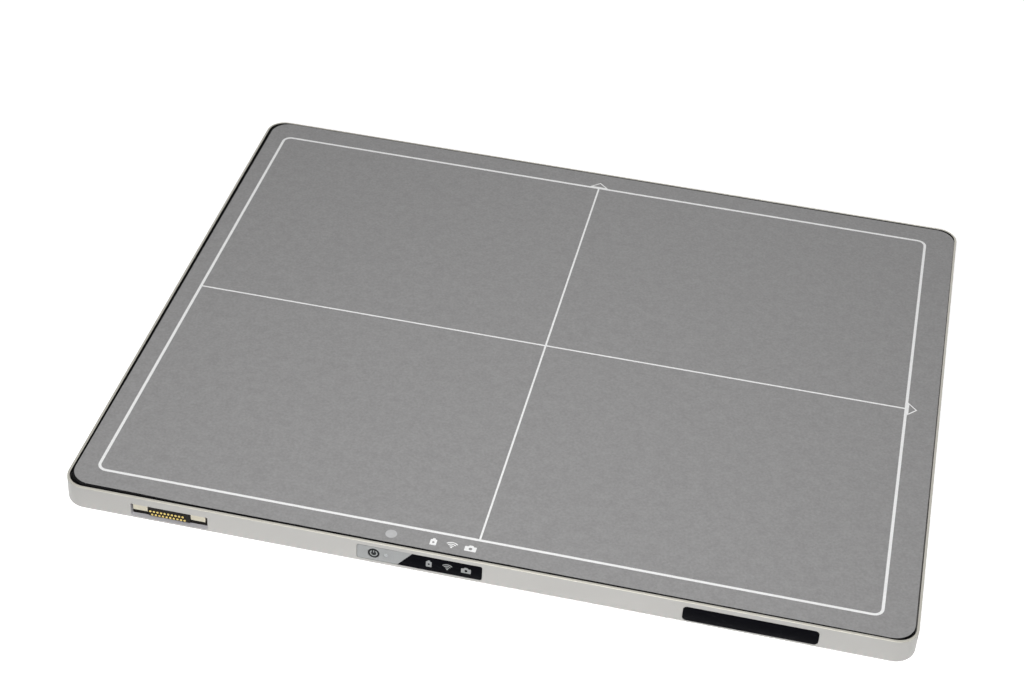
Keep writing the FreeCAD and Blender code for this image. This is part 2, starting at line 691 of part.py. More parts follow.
def rectangle_holes(x, y):
    return [(a, b) for a in grow(x, -BOARD_HOLE_INSET) for b in grow(y, -BOARD_HOLE_INSET)]


def readout_board_holes():
    return [(x, y) for x in midway(READOUT_PLACES)[::3] for y in grow(READOUT_BOARD_Y, -BOARD_HOLE_INSET)]


def gate_board_holes():
    return [(x, y) for y in midway(GATE_PLACES)[::2] for x in grow(GATE_BOARD_X, -BOARD_HOLE_INSET)]


def board_screw_places():
    return (readout_board_holes() + gate_board_holes() + rectangle_holes(SIDE_BOARD_X, MAIN_BOARD_Y)
            + rectangle_holes(SIDE_BOARD_X, POWER_BOARD_Y))


def board(x, y, holes):
    z = (BOARD_BOTTOM, BOARD_TOP)
    cuts = [rod("Z", BOARD_SCREW_R + THREAD_GAP, a, b, grow(z, PAST)) for a, b in holes]
    return cut(slab("Z", x, y, z, BOARD_R), cuts)


def readout_board():
    return board(READOUT_BOARD_X, READOUT_BOARD_Y, readout_board_holes())


def gate_board():
    return board(GATE_BOARD_X, GATE_BOARD_Y, gate_board_holes())


def main_board():
    return board(SIDE_BOARD_X, MAIN_BOARD_Y, rectangle_holes(SIDE_BOARD_X, MAIN_BOARD_Y))


def power_board():
    return board(SIDE_BOARD_X, POWER_BOARD_Y, rectangle_holes(SIDE_BOARD_X, POWER_BOARD_Y))


def board_standoffs():
    z = (BOARD_TOP, PLATE_BOTTOM)
    bore = BOARD_SCREW_R + THREAD_GAP
    return [rod("Z", STANDOFF_R, x, y, z).cut(rod("Z", bore, x, y, z)) for x, y in board_screw_places()]


def board_screws():
    """Pan head screws: the upright ones through the boards, the level ones into the front wall."""
    tip = PLATE_BOTTOM + BOARD_SCREW_GRIP
    screws = [rod("Z", BOARD_SCREW_R, x, y, (BOARD_BOTTOM, tip)).fuse(
        rod("Z", BOARD_HEAD_R, x, y, (BOARD_BOTTOM - BOARD_HEAD_T, BOARD_BOTTOM))).removeSplitter()
        for x, y in board_screw_places()]
    seat = WALL_INSIDE + WALL_BOARD_GAP + CONTROL_BOARD_T
    for x, z in wall_screw_places():
        shank = rod("Y", BOARD_SCREW_R, x, z, (WALL_INSIDE + WALL_BOARD_GAP - WALL_SCREW_GRIP, seat))
        head = rod("Y", BOARD_HEAD_R, x, z, (seat, seat + BOARD_HEAD_T))
        screws.append(shank.fuse(head).removeSplitter())
    return screws


def main_chip_spans():
    """The processor under the can, then two memories and a clock beside it, as centre and size."""
    x, y = middle(SIDE_BOARD_X), middle(MAIN_BOARD_Y)
    side = PROCESSOR_W / 2 + MEMORY_GAP + MEMORY_L / 2
    return [(x, y, PROCESSOR_W, PROCESSOR_W), (x - side, y + MEMORY_GAP, MEMORY_L, MEMORY_W),
            (x - side, y - MEMORY_GAP, MEMORY_L, MEMORY_W), (x, y - side, MEMORY_W, MEMORY_W / 2)]


def main_chips():
    return [chip_on(x, y, length, width, CHIP_H, BOARD_BOTTOM)
            for x, y, length, width in main_chip_spans()]


def shield_can():
    """Thin metal box over the processor."""
    x, y, length, width = main_chip_spans()[0]
    room = 2 * CAN_ROOM
    outer = chip_on(x, y, length + room, width + room, TALL_PART_H, BOARD_BOTTOM)
    inner = chip_on(x, y, length + room - 2 * CAN_T, width + room - 2 * CAN_T,
                    TALL_PART_H - CAN_T, BOARD_BOTTOM)
    return outer.cut(inner)


def power_part_spans():
    """Three inductors in a row and the charger chip below them, as centre and size."""
    x, y = middle(SIDE_BOARD_X), middle(POWER_BOARD_Y)
    return [(place, y, INDUCTOR_W, INDUCTOR_W) for place in spread(INDUCTORS, INDUCTOR_PITCH, x)] + [
        (x, y - CHARGER_GAP, CHARGER_W, CHARGER_W)]


def power_parts():
    return [chip_on(x, y, length, width, TALL_PART_H, BOARD_BOTTOM)
            for x, y, length, width in power_part_spans()]


def thermal_pads():
    """Soft pads that carry heat from the can and the charger to the rear cover."""
    top = BOARD_BOTTOM - TALL_PART_H
    return [slab("Z", span(x, length), span(y, width), (COVER_T, top))
            for x, y, length, width in (main_chip_spans()[0], power_part_spans()[-1])]


def radio_spans():
    """The radio's place near the main board's front right corner, clear of the corner's screw."""
    clear = 2 * BOARD_HOLE_INSET
    return ((SIDE_BOARD_X[1] - clear - RADIO_LENGTH, SIDE_BOARD_X[1] - clear),
            (MAIN_BOARD_Y[0] + clear, MAIN_BOARD_Y[0] + clear + RADIO_WIDTH))


def radio_module():
    x, y = radio_spans()
    return slab("Z", x, y, (BOARD_BOTTOM - TALL_PART_H, BOARD_BOTTOM))


def antenna_cables():
    """Two thin coaxial leads from the radio round the battery bay to the antennas."""
    solids = []
    radio_x, radio_y = radio_spans()
    level = BOARD_BOTTOM - TALL_PART_H / 2
    for i, board_x in enumerate(antenna_board_spans()):
        side = i - 0.5
        start_x = middle(radio_x) + side * CABLE_PITCH
        lane_x = antenna_lane_x() + side * CABLE_PITCH
        lane_y = BAY_Y[1] + BOARD_GAP / 2 + side * CABLE_PITCH
        front_y = WALL_INSIDE + CABLE_FROM_WALL - side * CABLE_PITCH
        corners = [V(start_x, radio_y[0], level), V(start_x, lane_y, level), V(lane_x, lane_y, level),
                   V(lane_x, front_y, level), V(middle(board_x), front_y, level),
                   V(middle(board_x), antenna_board_y()[1], level)]
        circle = Part.makeCircle(CABLE_R, corners[0], V(0, 1, 0))
        solids.append(sweep(corners, CABLE_BEND_R, Part.Wire([circle])))
    return solids


def antenna_lane_x():
    """The lane between the right lock's channel and the gate board."""
    channel_right = 2 * PACK_X - CHANNEL_END_X
    return (channel_right + GATE_BOARD_X[0]) / 2


def antenna_board_y():
    """The antennas are bonded to the back of the window's plug."""
    plug_end = FRONT + ANTENNA_T + ANTENNA_PLUG_T
    return (plug_end, plug_end + ANTENNA_BOARD_T)


def antenna_boards():
    z = grow(ANTENNA_SPAN_Z, -ANTENNA_STEP)
    return [slab("Y", x, z, antenna_board_y()) for x in antenna_board_spans()]


def wall_board(x, y):
    z = middle(WALL_BOARD_Z)
    holes = [rod("Y", BOARD_SCREW_R + THREAD_GAP, a, z, grow(y, PAST)) for a in grow(x, -BOARD_HEAD_R)]
    return cut(slab("Y", x, WALL_BOARD_Z, y), holes)


def link_cables():
    """Flat cables between the boards, under the boards' back faces."""
    main_x, main_y = middle(SIDE_BOARD_X), middle(MAIN_BOARD_Y)
    board_back = WALL_INSIDE + WALL_BOARD_GAP + CONTROL_BOARD_T
    socket_back = WALL_INSIDE + WALL_BOARD_GAP + SOCKET_BOARD_T
    contact_y = middle((CONTACT_PLACES[0], CONTACT_PLACES[-1]))
    right_edge = control_board_x()[0] + BOARD_HOLE_INSET
    right = (right_edge, right_edge + LINK_LAP)
    left = (SIDE_BOARD_X[1] - 2 * BOARD_HOLE_INSET - LINK_LAP, SIDE_BOARD_X[1] - 2 * BOARD_HOLE_INSET)
    turn = (POWER_BOARD_Y[0] - 2 * LINK_LAP, POWER_BOARD_Y[0] - LINK_LAP)
    control_link = [(right[0], board_back), (right[1], board_back), (right[1], turn[1]),
                    (left[1], turn[1]), (left[1], POWER_BOARD_Y[0] + LINK_LAP),
                    (left[0], POWER_BOARD_Y[0] + LINK_LAP), (left[0], turn[0]), (right[0], turn[0])]
    level = RIBBON_LEVEL
    return [
        slab("Z", span(main_x, LINK_WIDTH),
             (MAIN_BOARD_Y[1] - LINK_LAP, READOUT_BOARD_Y[0] + LINK_LAP), level),
        slab("Z", (SIDE_BOARD_X[1] - LINK_LAP, GATE_BOARD_X[0] + LINK_LAP / 2),
             span(main_y, LINK_WIDTH), level),
        slab("Z", span(main_x, LINK_WIDTH), (POWER_BOARD_Y[1] - LINK_LAP, MAIN_BOARD_Y[0] + LINK_LAP), level),
        slab("Z", span(SOCKET_X, LINK_WIDTH), (socket_back, POWER_BOARD_Y[0] + LINK_LAP), level),
        slab("Z", (SIDE_BOARD_X[1] - LINK_LAP, BAY_X[0] - BAY_T - PACK_GAP),
             span(contact_y, CONTACT_PITCH * PACK_CONTACTS), level),
        prism("Z", control_link, level),
    ]


# Rear cover


def rear_cover():
    plate = slab("Z", COVER_X, COVER_Y, (0, COVER_T), COVER_R)
    through = (-PAST, COVER_T + PAST)
    cuts = [slab("Z", BAY_X, BAY_Y, through, PACK_R + PACK_GAP)]
    for x, y, _, _ in lug_places():
        cuts.append(rod("Z", SCREW_R + THREAD_GAP, x, y, through))
        cuts.append(cone("Z", SCREW_HEAD_R + HEAD_GAP, SCREW_R + THREAD_GAP, x, y,
                         (0, SCREW_HEAD_T + HEAD_GAP)))
    slot = slab("Z", (GRIP_SPAN_X[0] - LOCK_GAP, GRIP_SPAN_X[1] + LOCK_TRAVEL + LOCK_GAP),
                grow(GRIP_SPAN_Y, LOCK_GAP), through)
    return cut(plate, cuts + [slot, mirrored(slot)])


def mirrored(solid):
    """The other end of the battery pack: its two ends are alike."""
    return solid.mirror(V(PACK_X, 0, 0), V(1, 0, 0))


def rear_gasket():
    """Flat seal between the frame's shelf and the cover's edge."""
    z = (COVER_T, SHELF_Z)
    inner_x, inner_y = grow(INSIDE_X, -RIM_T), grow(INSIDE_Y, -RIM_T)
    ring = slab("Z", COVER_X, COVER_Y, z, COVER_R)
    ring = ring.cut(slab("Z", inner_x, inner_y, grow(z, PAST), INSIDE_R - RIM_T))
    return ring


def rear_cover_screws():
    length = COVER_T + SCREW_GRIP
    return [countersunk_screw(x, y, HEAD_GAP, 1, length) for x, y, _, _ in lug_places()]


# Battery pack, bay and locks


def battery_plate():
    """The pack's outer skin, level with the rear cover, with two shallow pulls for the fingers."""
    pulls = [slab("Z", span(PACK_X, PULL_LENGTH), span(y, PULL_WIDTH), (-PAST, PULL_DEPTH), PULL_WIDTH / 3)
             for y in grow(PACK_SPAN_Y, -PULL_WIDTH)]
    return cut(slab("Z", PACK_SPAN_X, PACK_SPAN_Y, (0, COVER_T), PACK_R), pulls)


def battery_case():
    """The pack's four walls. Its ends stand back, so that the locks can reach in past the plate."""
    z = (COVER_T, CASE_TOP)
    walls = slab("Z", grow(PACK_SPAN_X, -GROOVE_DEPTH), PACK_SPAN_Y, z)
    return walls.cut(slab("Z", grow(PACK_SPAN_X, -CASE_END), grow(PACK_SPAN_Y, -CASE_T), grow(z, PAST)))


def battery_end_bars():
    """Bars on the case's ends: the locks catch under them, and the left one carries the contacts."""
    z = (LOCK_Z[1] + LOCK_GAP, CASE_TOP)
    outline = slab("Z", PACK_SPAN_X, PACK_SPAN_Y, z, PACK_R)
    end_x = (PACK_SPAN_X[0], PACK_SPAN_X[0] + GROOVE_DEPTH)
    bar = outline.common(slab("Z", end_x, PACK_SPAN_Y, z))
    return [cut(bar, [contact_pad(y, PAST) for y in CONTACT_PLACES]), mirrored(bar)]


def contact_pad(y, extra):
    x = (PACK_SPAN_X[0] - extra, PACK_SPAN_X[0] + CONTACT_T)
    z = (LOCK_Z[1] + LOCK_GAP + CONTACT_T, CASE_TOP - CONTACT_T)
    return slab("X", span(y, CONTACT_WIDTH), z, x)


def battery_lid():
    return slab("Z", PACK_SPAN_X, PACK_SPAN_Y, (CASE_TOP, PACK_TOP), PACK_R)


def battery_seal():
    x, y = grow(PACK_SPAN_X, -SEAL_W / 2), grow(PACK_SPAN_Y, -SEAL_W / 2)
    z = (PACK_TOP, PACK_TOP + SEAL_T)
    ring = slab("Z", x, y, z, PACK_R)
    return ring.cut(slab("Z", grow(x, -SEAL_W), grow(y, -SEAL_W), grow(z, PAST), PACK_R - SEAL_W / 2))


def cell_room():
    """The inside of the pack that the cells share, beside the strip for the pack's own board."""
    x, y = grow(PACK_SPAN_X, -CASE_END), grow(PACK_SPAN_Y, -CASE_T)
    return x, (y[0] + CELL_GAP, y[1] - PACK_BOARD_W - 2 * CELL_GAP)


def battery_cells():
    room_x, y = cell_room()
    length = (room_x[1] - room_x[0] - (CELLS + 1) * CELL_GAP) / CELLS
    places = spread(CELLS, length + CELL_GAP, PACK_X)
    return [slab("Z", span(x, length), y, (COVER_T, CASE_TOP - LOCK_GAP), PACK_R / 2) for x in places]


def battery_board():
    room_x, cells_y = cell_room()
    y = (cells_y[1] + CELL_GAP, cells_y[1] + CELL_GAP + PACK_BOARD_W)
    return slab("Z", grow(room_x, -CELL_GAP), y, (CASE_TOP - BOARD_T, CASE_TOP))


def battery_contacts():
    return [contact_pad(y, 0) for y in CONTACT_PLACES]


def lock_channel():
    """Roofed channel on the bay's end: the lock slides in it, over the rear cover."""
    x = (CHANNEL_END_X, BAY_X[0])
    roof = LOCK_Z[1] + LOCK_GAP
    outer = slab("Z", x, grow(LOCK_SPAN_Y, LOCK_GAP + BAY_T), (COVER_T, roof + BAY_T))
    inner = slab("Z", (x[0] + BAY_T, x[1] + PAST), grow(LOCK_SPAN_Y, LOCK_GAP), (COVER_T - PAST, roof))
    return outer, inner


def bay_contact(y):
    """A spring blade through the bay's wall, with its tip just off the pack's contact."""
    x = (BAY_X[0] - BAY_T - LINK_LAP, PACK_SPAN_X[0] - CONTACT_GAP)
    return slab("Z", x, span(y, CONTACT_WIDTH), (RIBBON_LEVEL[0] - CONTACT_T, RIBBON_LEVEL[0]))


def battery_bay():
    radius = PACK_R + PACK_GAP
    tray = slab("Z", grow(BAY_X, BAY_T), grow(BAY_Y, BAY_T), (COVER_T, PLATE_BOTTOM), radius + BAY_T)
    outer, inner = lock_channel()
    tray = fuse([tray, outer, mirrored(outer)])
    room = slab("Z", BAY_X, BAY_Y, (COVER_T - PAST, BAY_FLOOR_Z), radius)
    return cut(tray, [room, inner, mirrored(inner)] + [bay_contact(y) for y in CONTACT_PLACES])


def bay_contacts():
    return [bay_contact(y) for y in CONTACT_PLACES]


def battery_lock_left():
    """Flat bolt of a slide lock, stored open. Closed, its tip is between the plate and the end bar."""
    return slab("Z", LOCK_SPAN_X, LOCK_SPAN_Y, LOCK_Z)


def battery_lock_right():
    return mirrored(battery_lock_left())


def battery_grip_left():
    """Ribbed grip pressed on the bolt. It passes through the rear cover's slot."""
    grip = slab("Z", GRIP_SPAN_X, GRIP_SPAN_Y, (GRIP_RECESS, LOCK_Z[0]))
    grooves = [slab("Z", span(x, GRIP_GROOVE), grow(GRIP_SPAN_Y, PAST), (-PAST, GRIP_RECESS + GRIP_GROOVE))
               for x in spread(GROOVE_COUNT, GRIP_LENGTH / (GROOVE_COUNT + 1), middle(GRIP_SPAN_X))]
    return cut(grip, grooves)


def battery_grip_right():
    return mirrored(battery_grip_left())


# Controls in the front wall


def button_seat():
    """The y of the step in the wall that the button's flange is held behind."""
    return WALL_INSIDE - BUTTON_FLANGE_BACK - BUTTON_FLANGE_T - BUTTON_SEAL_T - BUTTON_SEAL_GAP


def control_overlay():
    y = (FRONT + OVERLAY_SINK, FRONT + OVERLAY_T)
    film = slab("Y", CONTROL_SPAN_X, CONTROL_SPAN_Z, y, OVERLAY_R)
    return cut(film, [
        prism("Y", window_outline(FILM_FIT), grow(y, PAST)),
        rod("Y", BUTTON_R + BUTTON_GAP, BUTTON_X, CONTROL_Z, grow(y, PAST)),
        rod("Y", LED_R + LED_GAP, LED_X, CONTROL_Z, grow(y, PAST)),
    ])


def status_window():
    y = (FRONT + OVERLAY_SINK, FRONT + WINDOW_T)
    return prism("Y", window_outline(0), y).common(slab("Y", CONTROL_SPAN_X, CONTROL_SPAN_Z, y, OVERLAY_R))


def power_button():
    flange = (WALL_INSIDE - BUTTON_FLANGE_BACK - BUTTON_FLANGE_T, WALL_INSIDE - BUTTON_FLANGE_BACK)
    cap = rod("Y", BUTTON_R, BUTTON_X, CONTROL_Z, (FRONT + BUTTON_RECESS, flange[0]))
    collar = rod("Y", BUTTON_FLANGE_R, BUTTON_X, CONTROL_Z, flange)
    tail = rod("Y", DOME_R / 2, BUTTON_X, CONTROL_Z, (flange[1], dome_base() - DOME_H - DOME_GAP))
    return fuse([cap, collar, tail])


def button_seal():
    """Soft ring between the button's flange and its step in the wall."""
    y = (button_seat(), button_seat() + BUTTON_SEAL_T)
    ring = rod("Y", BUTTON_FLANGE_R, BUTTON_X, CONTROL_Z, y)
    return ring.cut(rod("Y", BUTTON_R + BUTTON_GAP, BUTTON_X, CONTROL_Z, grow(y, PAST)))


def dome_base():
    return WALL_INSIDE + WALL_BOARD_GAP


def button_dome():
    """Metal click dome on the control board, pressed flat by the button's tail."""
    sphere_r = (DOME_R ** 2 + DOME_H ** 2) / (2 * DOME_H)
    ball = Part.makeSphere(sphere_r, V(BUTTON_X, dome_base() - DOME_H + sphere_r, CONTROL_Z))
    height = (dome_base() - DOME_H - PAST, dome_base())
    cap = ball.common(rod("Y", DOME_R + PAST, BUTTON_X, CONTROL_Z, height))
    return cap


def power_led_lens():
    return rod("Y", LED_R, LED_X, CONTROL_Z, (FRONT + OVERLAY_SINK, led_face() - LED_GAP))


def led_face():
    return dome_base() - CHIP_LED_H


def status_light_guides():
    y = (FRONT + WINDOW_T, led_face() - LED_GAP)
    return [slab("Y", span(x, GUIDE_WIDTH), guide_z(), y) for x in ICONS_X]


def status_leds():
    y = (led_face(), dome_base())
    return [slab("Y", span(x, CHIP_LED_W), span(CONTROL_Z, CHIP_LED_W / 2), y) for x in (LED_X, *ICONS_X)]


def control_board():
    return wall_board(control_board_x(), (dome_base(), dome_base() + CONTROL_BOARD_T))


def antenna_window():
    face = slab("Y", ANTENNA_SPAN_X, ANTENNA_SPAN_Z, (FRONT, FRONT + ANTENNA_T), ANTENNA_R)
    plug = slab("Y", grow(ANTENNA_SPAN_X, -ANTENNA_STEP), grow(ANTENNA_SPAN_Z, -ANTENNA_STEP),
                (FRONT + ANTENNA_T, FRONT + ANTENNA_T + ANTENNA_PLUG_T))
    return fuse([face, plug])


# Tether connector


def pin_places():
    """Two staggered rows of contacts, as x and z."""
    centre_z = middle(SOCKET_SPAN_Z) - PIN_DROP / 2 + PIN_ROW_PITCH / 4
    rows = spread(PIN_ROWS, PIN_ROW_PITCH, centre_z)
    return [(x, z) for i, z in enumerate(rows)
            for x in spread(PINS_PER_ROW, PIN_PITCH, SOCKET_X - PIN_STAGGER * (i + 0.5))]


def pin_span():
    return (FRONT + BLOCK_RECESS - PIN_PROUD, dome_base())


def connector_body():
    """Black moulding: a back plate in the recess, a block for the contacts and a plug through the wall."""
    back = slab("Y", grow(SOCKET_SPAN_X, -SOCKET_FIT), grow(SOCKET_SPAN_Z, -SOCKET_FIT),
                (SOCKET_BACK, SOCKET_BACK + SOCKET_BACK_T), SOCKET_R)
    block_top = SOCKET_SPAN_Z[1] - BLOCK_TOP_GAP
    block = slab("Y", span(SOCKET_X, BLOCK_LENGTH), (block_top - BLOCK_HEIGHT, block_top),
                 (FRONT + BLOCK_RECESS, SOCKET_BACK))
    plug_x, plug_z = socket_plug_spans()
    plug = slab("Y", plug_x, plug_z, (SOCKET_BACK + SOCKET_BACK_T, dome_base()))
    bores = [rod("Y", PIN_R, x, z, grow(pin_span(), PAST)) for x, z in pin_places()]
    return cut(fuse([back, block, plug]), bores)


def contact_pins():
    return [rod("Y", PIN_R, x, z, pin_span()) for x, z in pin_places()]


def connector_magnets():
    """Plated magnets that hold the tether's plug, one at each end of the socket."""
    top = SOCKET_SPAN_Z[1]
    y = (FRONT + MAGNET_RECESS, SOCKET_BACK)
    centre = SOCKET_LENGTH / 2 - MAGNET_FROM_END - MAGNET_LENGTH / 2
    return [slab("Y", span(SOCKET_X + side * centre, MAGNET_LENGTH), (top - MAGNET_HEIGHT, top), y)
            for side in (-1, 1)]


def connector_board():
    return wall_board(socket_board_x(), (dome_base(), dome_base() + SOCKET_BOARD_T))


PIECES = {
    "side_frame": side_frame,
    "front_panel": front_panel,
    "front_film": front_film,
    "panel_gasket": panel_gasket,
    "front_cushion": front_cushion,
    "scintillator": scintillator,
    "sensor_glass": sensor_glass,
    "lead_shield": lead_shield,
    "base_plate": base_plate,
    "base_plate_screws": base_plate_screws,
    "readout_ribbons": readout_ribbons,
    "readout_chips": readout_chips,
    "readout_board": readout_board,
    "gate_ribbons": gate_ribbons,
    "gate_chips": gate_chips,
    "gate_board": gate_board,
    "main_board": main_board,
    "main_chips": main_chips,
    "shield_can": shield_can,
    "thermal_pads": thermal_pads,
    "power_board": power_board,
    "power_parts": power_parts,
    "radio_module": radio_module,
    "antenna_cables": antenna_cables,
    "antenna_boards": antenna_boards,
    "board_standoffs": board_standoffs,
    "board_screws": board_screws,
    "link_cables": link_cables,
    "rear_cover": rear_cover,
    "rear_gasket": rear_gasket,
    "rear_cover_screws": rear_cover_screws,
    "battery_plate": battery_plate,
    "battery_case": battery_case,
    "battery_end_bars": battery_end_bars,
    "battery_lid": battery_lid,
    "battery_seal": battery_seal,
    "battery_cells": battery_cells,
    "battery_board": battery_board,
    "battery_contacts": battery_contacts,
    "battery_bay": battery_bay,
    "bay_contacts": bay_contacts,
    "battery_lock_left": battery_lock_left,
    "battery_lock_right": battery_lock_right,
    "battery_grip_left": battery_grip_left,
    "battery_grip_right": battery_grip_right,
    "control_overlay": control_overlay,
    "status_window": status_window,
    "status_light_guides": status_light_guides,
    "status_leds": status_leds,
    "power_button": power_button,
    "button_seal": button_seal,
    "button_dome": button_dome,
    "power_led_lens": power_led_lens,
    "control_board": control_board,
    "antenna_window": antenna_window,
    "connector_body": connector_body,
    "contact_pins": contact_pins,
    "connector_magnets": connector_magnets,
    "connector_board": connector_board,
}

os.makedirs("parts", exist_ok=True)
for name, make in PIECES.items():
    piece = make()
    solids = piece if isinstance(piece, list) else [piece]
    shape = solids[0] if len(solids) == 1 else Part.makeCompound(solids)
    shape.exportStep("parts/" + name + ".step")
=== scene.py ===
"""Wireless flat panel x-ray detector: its finishes, its printed marks and the studio it lies in."""
import bmesh
import bpy
import math
from mathutils import Matrix, Vector


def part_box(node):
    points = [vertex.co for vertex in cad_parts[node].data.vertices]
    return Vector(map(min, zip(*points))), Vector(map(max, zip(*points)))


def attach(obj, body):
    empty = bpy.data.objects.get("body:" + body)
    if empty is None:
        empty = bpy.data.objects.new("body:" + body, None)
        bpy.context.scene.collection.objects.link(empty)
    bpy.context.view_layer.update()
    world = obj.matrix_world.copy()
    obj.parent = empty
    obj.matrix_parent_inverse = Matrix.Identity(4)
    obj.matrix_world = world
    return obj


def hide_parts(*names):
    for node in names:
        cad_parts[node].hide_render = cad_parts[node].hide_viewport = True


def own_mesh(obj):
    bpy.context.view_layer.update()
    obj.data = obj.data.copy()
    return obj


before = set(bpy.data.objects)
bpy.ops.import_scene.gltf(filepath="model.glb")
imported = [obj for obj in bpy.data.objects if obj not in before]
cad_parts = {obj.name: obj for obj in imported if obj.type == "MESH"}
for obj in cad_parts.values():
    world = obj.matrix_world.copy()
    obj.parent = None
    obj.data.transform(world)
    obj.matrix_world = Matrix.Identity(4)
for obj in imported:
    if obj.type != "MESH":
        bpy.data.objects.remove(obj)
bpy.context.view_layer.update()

MM = 0.001
PACK_LOW, PACK_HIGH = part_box("battery_plate")
GRIP_LOW, GRIP_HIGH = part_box("battery_grip_right")
PACK_X = (PACK_LOW.x + PACK_HIGH.x) / 2 / MM
LOCK_X = (GRIP_LOW.x + GRIP_HIGH.x) / 2 / MM - PACK_X

# Frame finish, by height in mm: painted shade at its foot up to here, and a painted highlight along its front
# edge from here
FOOT_SHADE_FADE = (0.7, 1.5)
HIGHLIGHT_START = 14.6
HIGHLIGHT_FADE = 0.5

# Padlock marks printed beside the pack's two locks, in mm
MARK_Y = GRIP_HIGH.y / MM + 6.0
MARK_APART = 2.9
MARK_HALF = (1.7, 1.3)
MARK_DROP = 0.2
BOW_Y = 1.1
BOW_R = (0.75, 1.25)
BOW_LIFT = 1.0
PRINT_Z = 0.2


# Shader maths written as sums


class Signal:
    """What comes out of a socket, so that a pattern can be written as a sum."""

    def __init__(self, finish, socket):
        self.finish = finish
        self.socket = socket

    def maths(self, operation, *values):
        return self.finish.node("ShaderNodeMath", values, operation=operation)

    def __add__(self, other):
        return self.maths("ADD", self, other)

    def __radd__(self, other):
        return self.maths("ADD", other, self)

    def __sub__(self, other):
        return self.maths("SUBTRACT", self, other)

    def __rsub__(self, other):
        return self.maths("SUBTRACT", other, self)

    def __mul__(self, other):
        return self.maths("MULTIPLY", self, other)

    def __rmul__(self, other):
        return self.maths("MULTIPLY", other, self)

    def __truediv__(self, other):
        return self.maths("DIVIDE", self, other)

    def __mod__(self, other):
        return self.maths("FLOORED_MODULO", self, other)

    def __pow__(self, other):
        return self.maths("POWER", self, other)

    def __abs__(self):
        return self.maths("ABSOLUTE", self)

    def __lt__(self, other):
        return self.maths("LESS_THAN", self, other)

    def __gt__(self, other):
        return self.maths("GREATER_THAN", self, other)

    def floor(self):
        return self.maths("FLOOR", self)

    def sine(self):
        return self.maths("SINE", self)

    def clamp(self):
        return self.maths("MAXIMUM", self.maths("MINIMUM", self, 1.0), 0.0)


class Finish:
    """A procedural material. Lengths in its patterns are millimetres on the object."""

    def __init__(self, name, **constants):
        self.material = bpy.data.materials.new(name)
        self.begin(self.material, "Principled BSDF", constants)

    def begin(self, owner, shader, constants):
        """Takes over the node tree of a material or a world, with the shader that it comes with."""
        owner.use_nodes = True
        self.tree = owner.node_tree
        self.shader = self.tree.nodes[shader]
        for socket, value in constants.items():
            self.shader.inputs[socket.replace("_", " ")].default_value = value

    def node(self, kind, values=(), out=0, **settings):
        """Adds a node: its settings first, then the values or links of its sockets in their order."""
        made = self.tree.nodes.new(kind)
        for name, value in settings.items():
            setattr(made, name, value)
        named = values.items() if isinstance(values, dict) else enumerate(values)
        for key, value in named:
            if isinstance(value, Signal):
                self.tree.links.new(value.socket, made.inputs[key])
            else:
                made.inputs[key].default_value = value
        return Signal(self, made.outputs[out])

    def place(self, stretch=(1, 1, 1)):
        """Object coordinates in millimetres, stretched along each axis."""
        where = self.node("ShaderNodeTexCoord", out="Object")
        scale = [s / MM for s in stretch]
        return self.node("ShaderNodeMapping", {"Vector": where, "Scale": scale})

    def axes(self):
        """The three object coordinates in millimetres, one by one."""
        split = self.node("ShaderNodeSeparateXYZ", [self.place()])
        outputs = split.socket.node.outputs
        return [Signal(self, outputs[i]) for i in range(3)]

    def grain(self, size, detail=2.0, stretch=(1, 1, 1)):
        """Soft noise from 0 to 1 whose grains are about this many millimetres across."""
        values = {"Vector": self.place(stretch), "Scale": 1 / size, "Detail": detail}
        return self.node("ShaderNodeTexNoise", values)

    def cells(self, size, out="Distance"):
        """The distance to the middle of each cell, or its colour. Cells are this many mm across."""
        values = {"Vector": self.place(), "Scale": 1 / size}
        return self.node("ShaderNodeTexVoronoi", values, out=out)

    def ramp(self, value, low, high, to_low=0.0, to_high=1.0):
        """Carries a range of a value to another one, held at its ends."""
        return self.node("ShaderNodeMapRange", [value, low, high, to_low, to_high])

    def blend(self, share, low, high):
        """A colour between two, or between a pattern and a colour."""
        low, high = (c if isinstance(c, Signal) else (*c, 1) for c in (low, high))
        return self.node("ShaderNodeMix", {0: share, 6: low, 7: high}, out=2, data_type="RGBA")

    def wear(self, socket, value):
        """Lets a pattern drive one socket of the shader."""
        self.tree.links.new(value.socket, self.shader.inputs[socket])

    def looked_at(self):
        """1 for rays that the camera, a mirror or glass sends out, 0 for the light on things."""
        camera, mirror, glass = (self.node("ShaderNodeLightPath", out=f"Is {kind} Ray")
                                 for kind in ("Camera", "Glossy", "Transmission"))
        return (camera + mirror + glass).clamp()

    def relief(self, height, depth, strength=1.0):
        """A bump this many millimetres deep."""
        values = {"Strength": strength, "Distance": depth * MM, "Height": height}
        bump = self.node("ShaderNodeBump", values)
        self.tree.links.new(bump.socket, self.shader.inputs["Normal"])


def satin_metal(name, colour, highlight_colour, metallic=0.4):
    """Metal with a bead-blast finish: a painted highlight along its front edge, and painted shade that
    darkens its foot.
    """
    f = Finish(name, Metallic=metallic)
    fine = f.grain(0.35, 3.0)
    cloud = f.grain(60.0, 1.0)
    deep = [0.94 * c for c in colour]
    height = f.axes()[2]
    # Painted highlight: the colour turns lighter and warmer towards the front edge
    painted_highlight = f.ramp(height + 0.5 * cloud, HIGHLIGHT_START, HIGHLIGHT_START + HIGHLIGHT_FADE)
    blasted_and_shaded = f.blend(f.ramp(fine + cloud, 0.7, 1.3), deep, colour)
    # Painted shade: the colour darkens towards the foot
    painted_foot_shade = f.ramp(height + 0.4 * fine, *FOOT_SHADE_FADE, 0.8, 0.0)
    blasted_and_shaded = f.blend(painted_foot_shade, blasted_and_shaded, [0.55 * c for c in colour])
    f.wear("Base Color", f.blend(painted_highlight, blasted_and_shaded, highlight_colour))
    f.wear("Roughness", f.ramp(fine, 0.3, 0.7, 0.41, 0.51))
    f.relief(fine, 0.012)
    return f.material


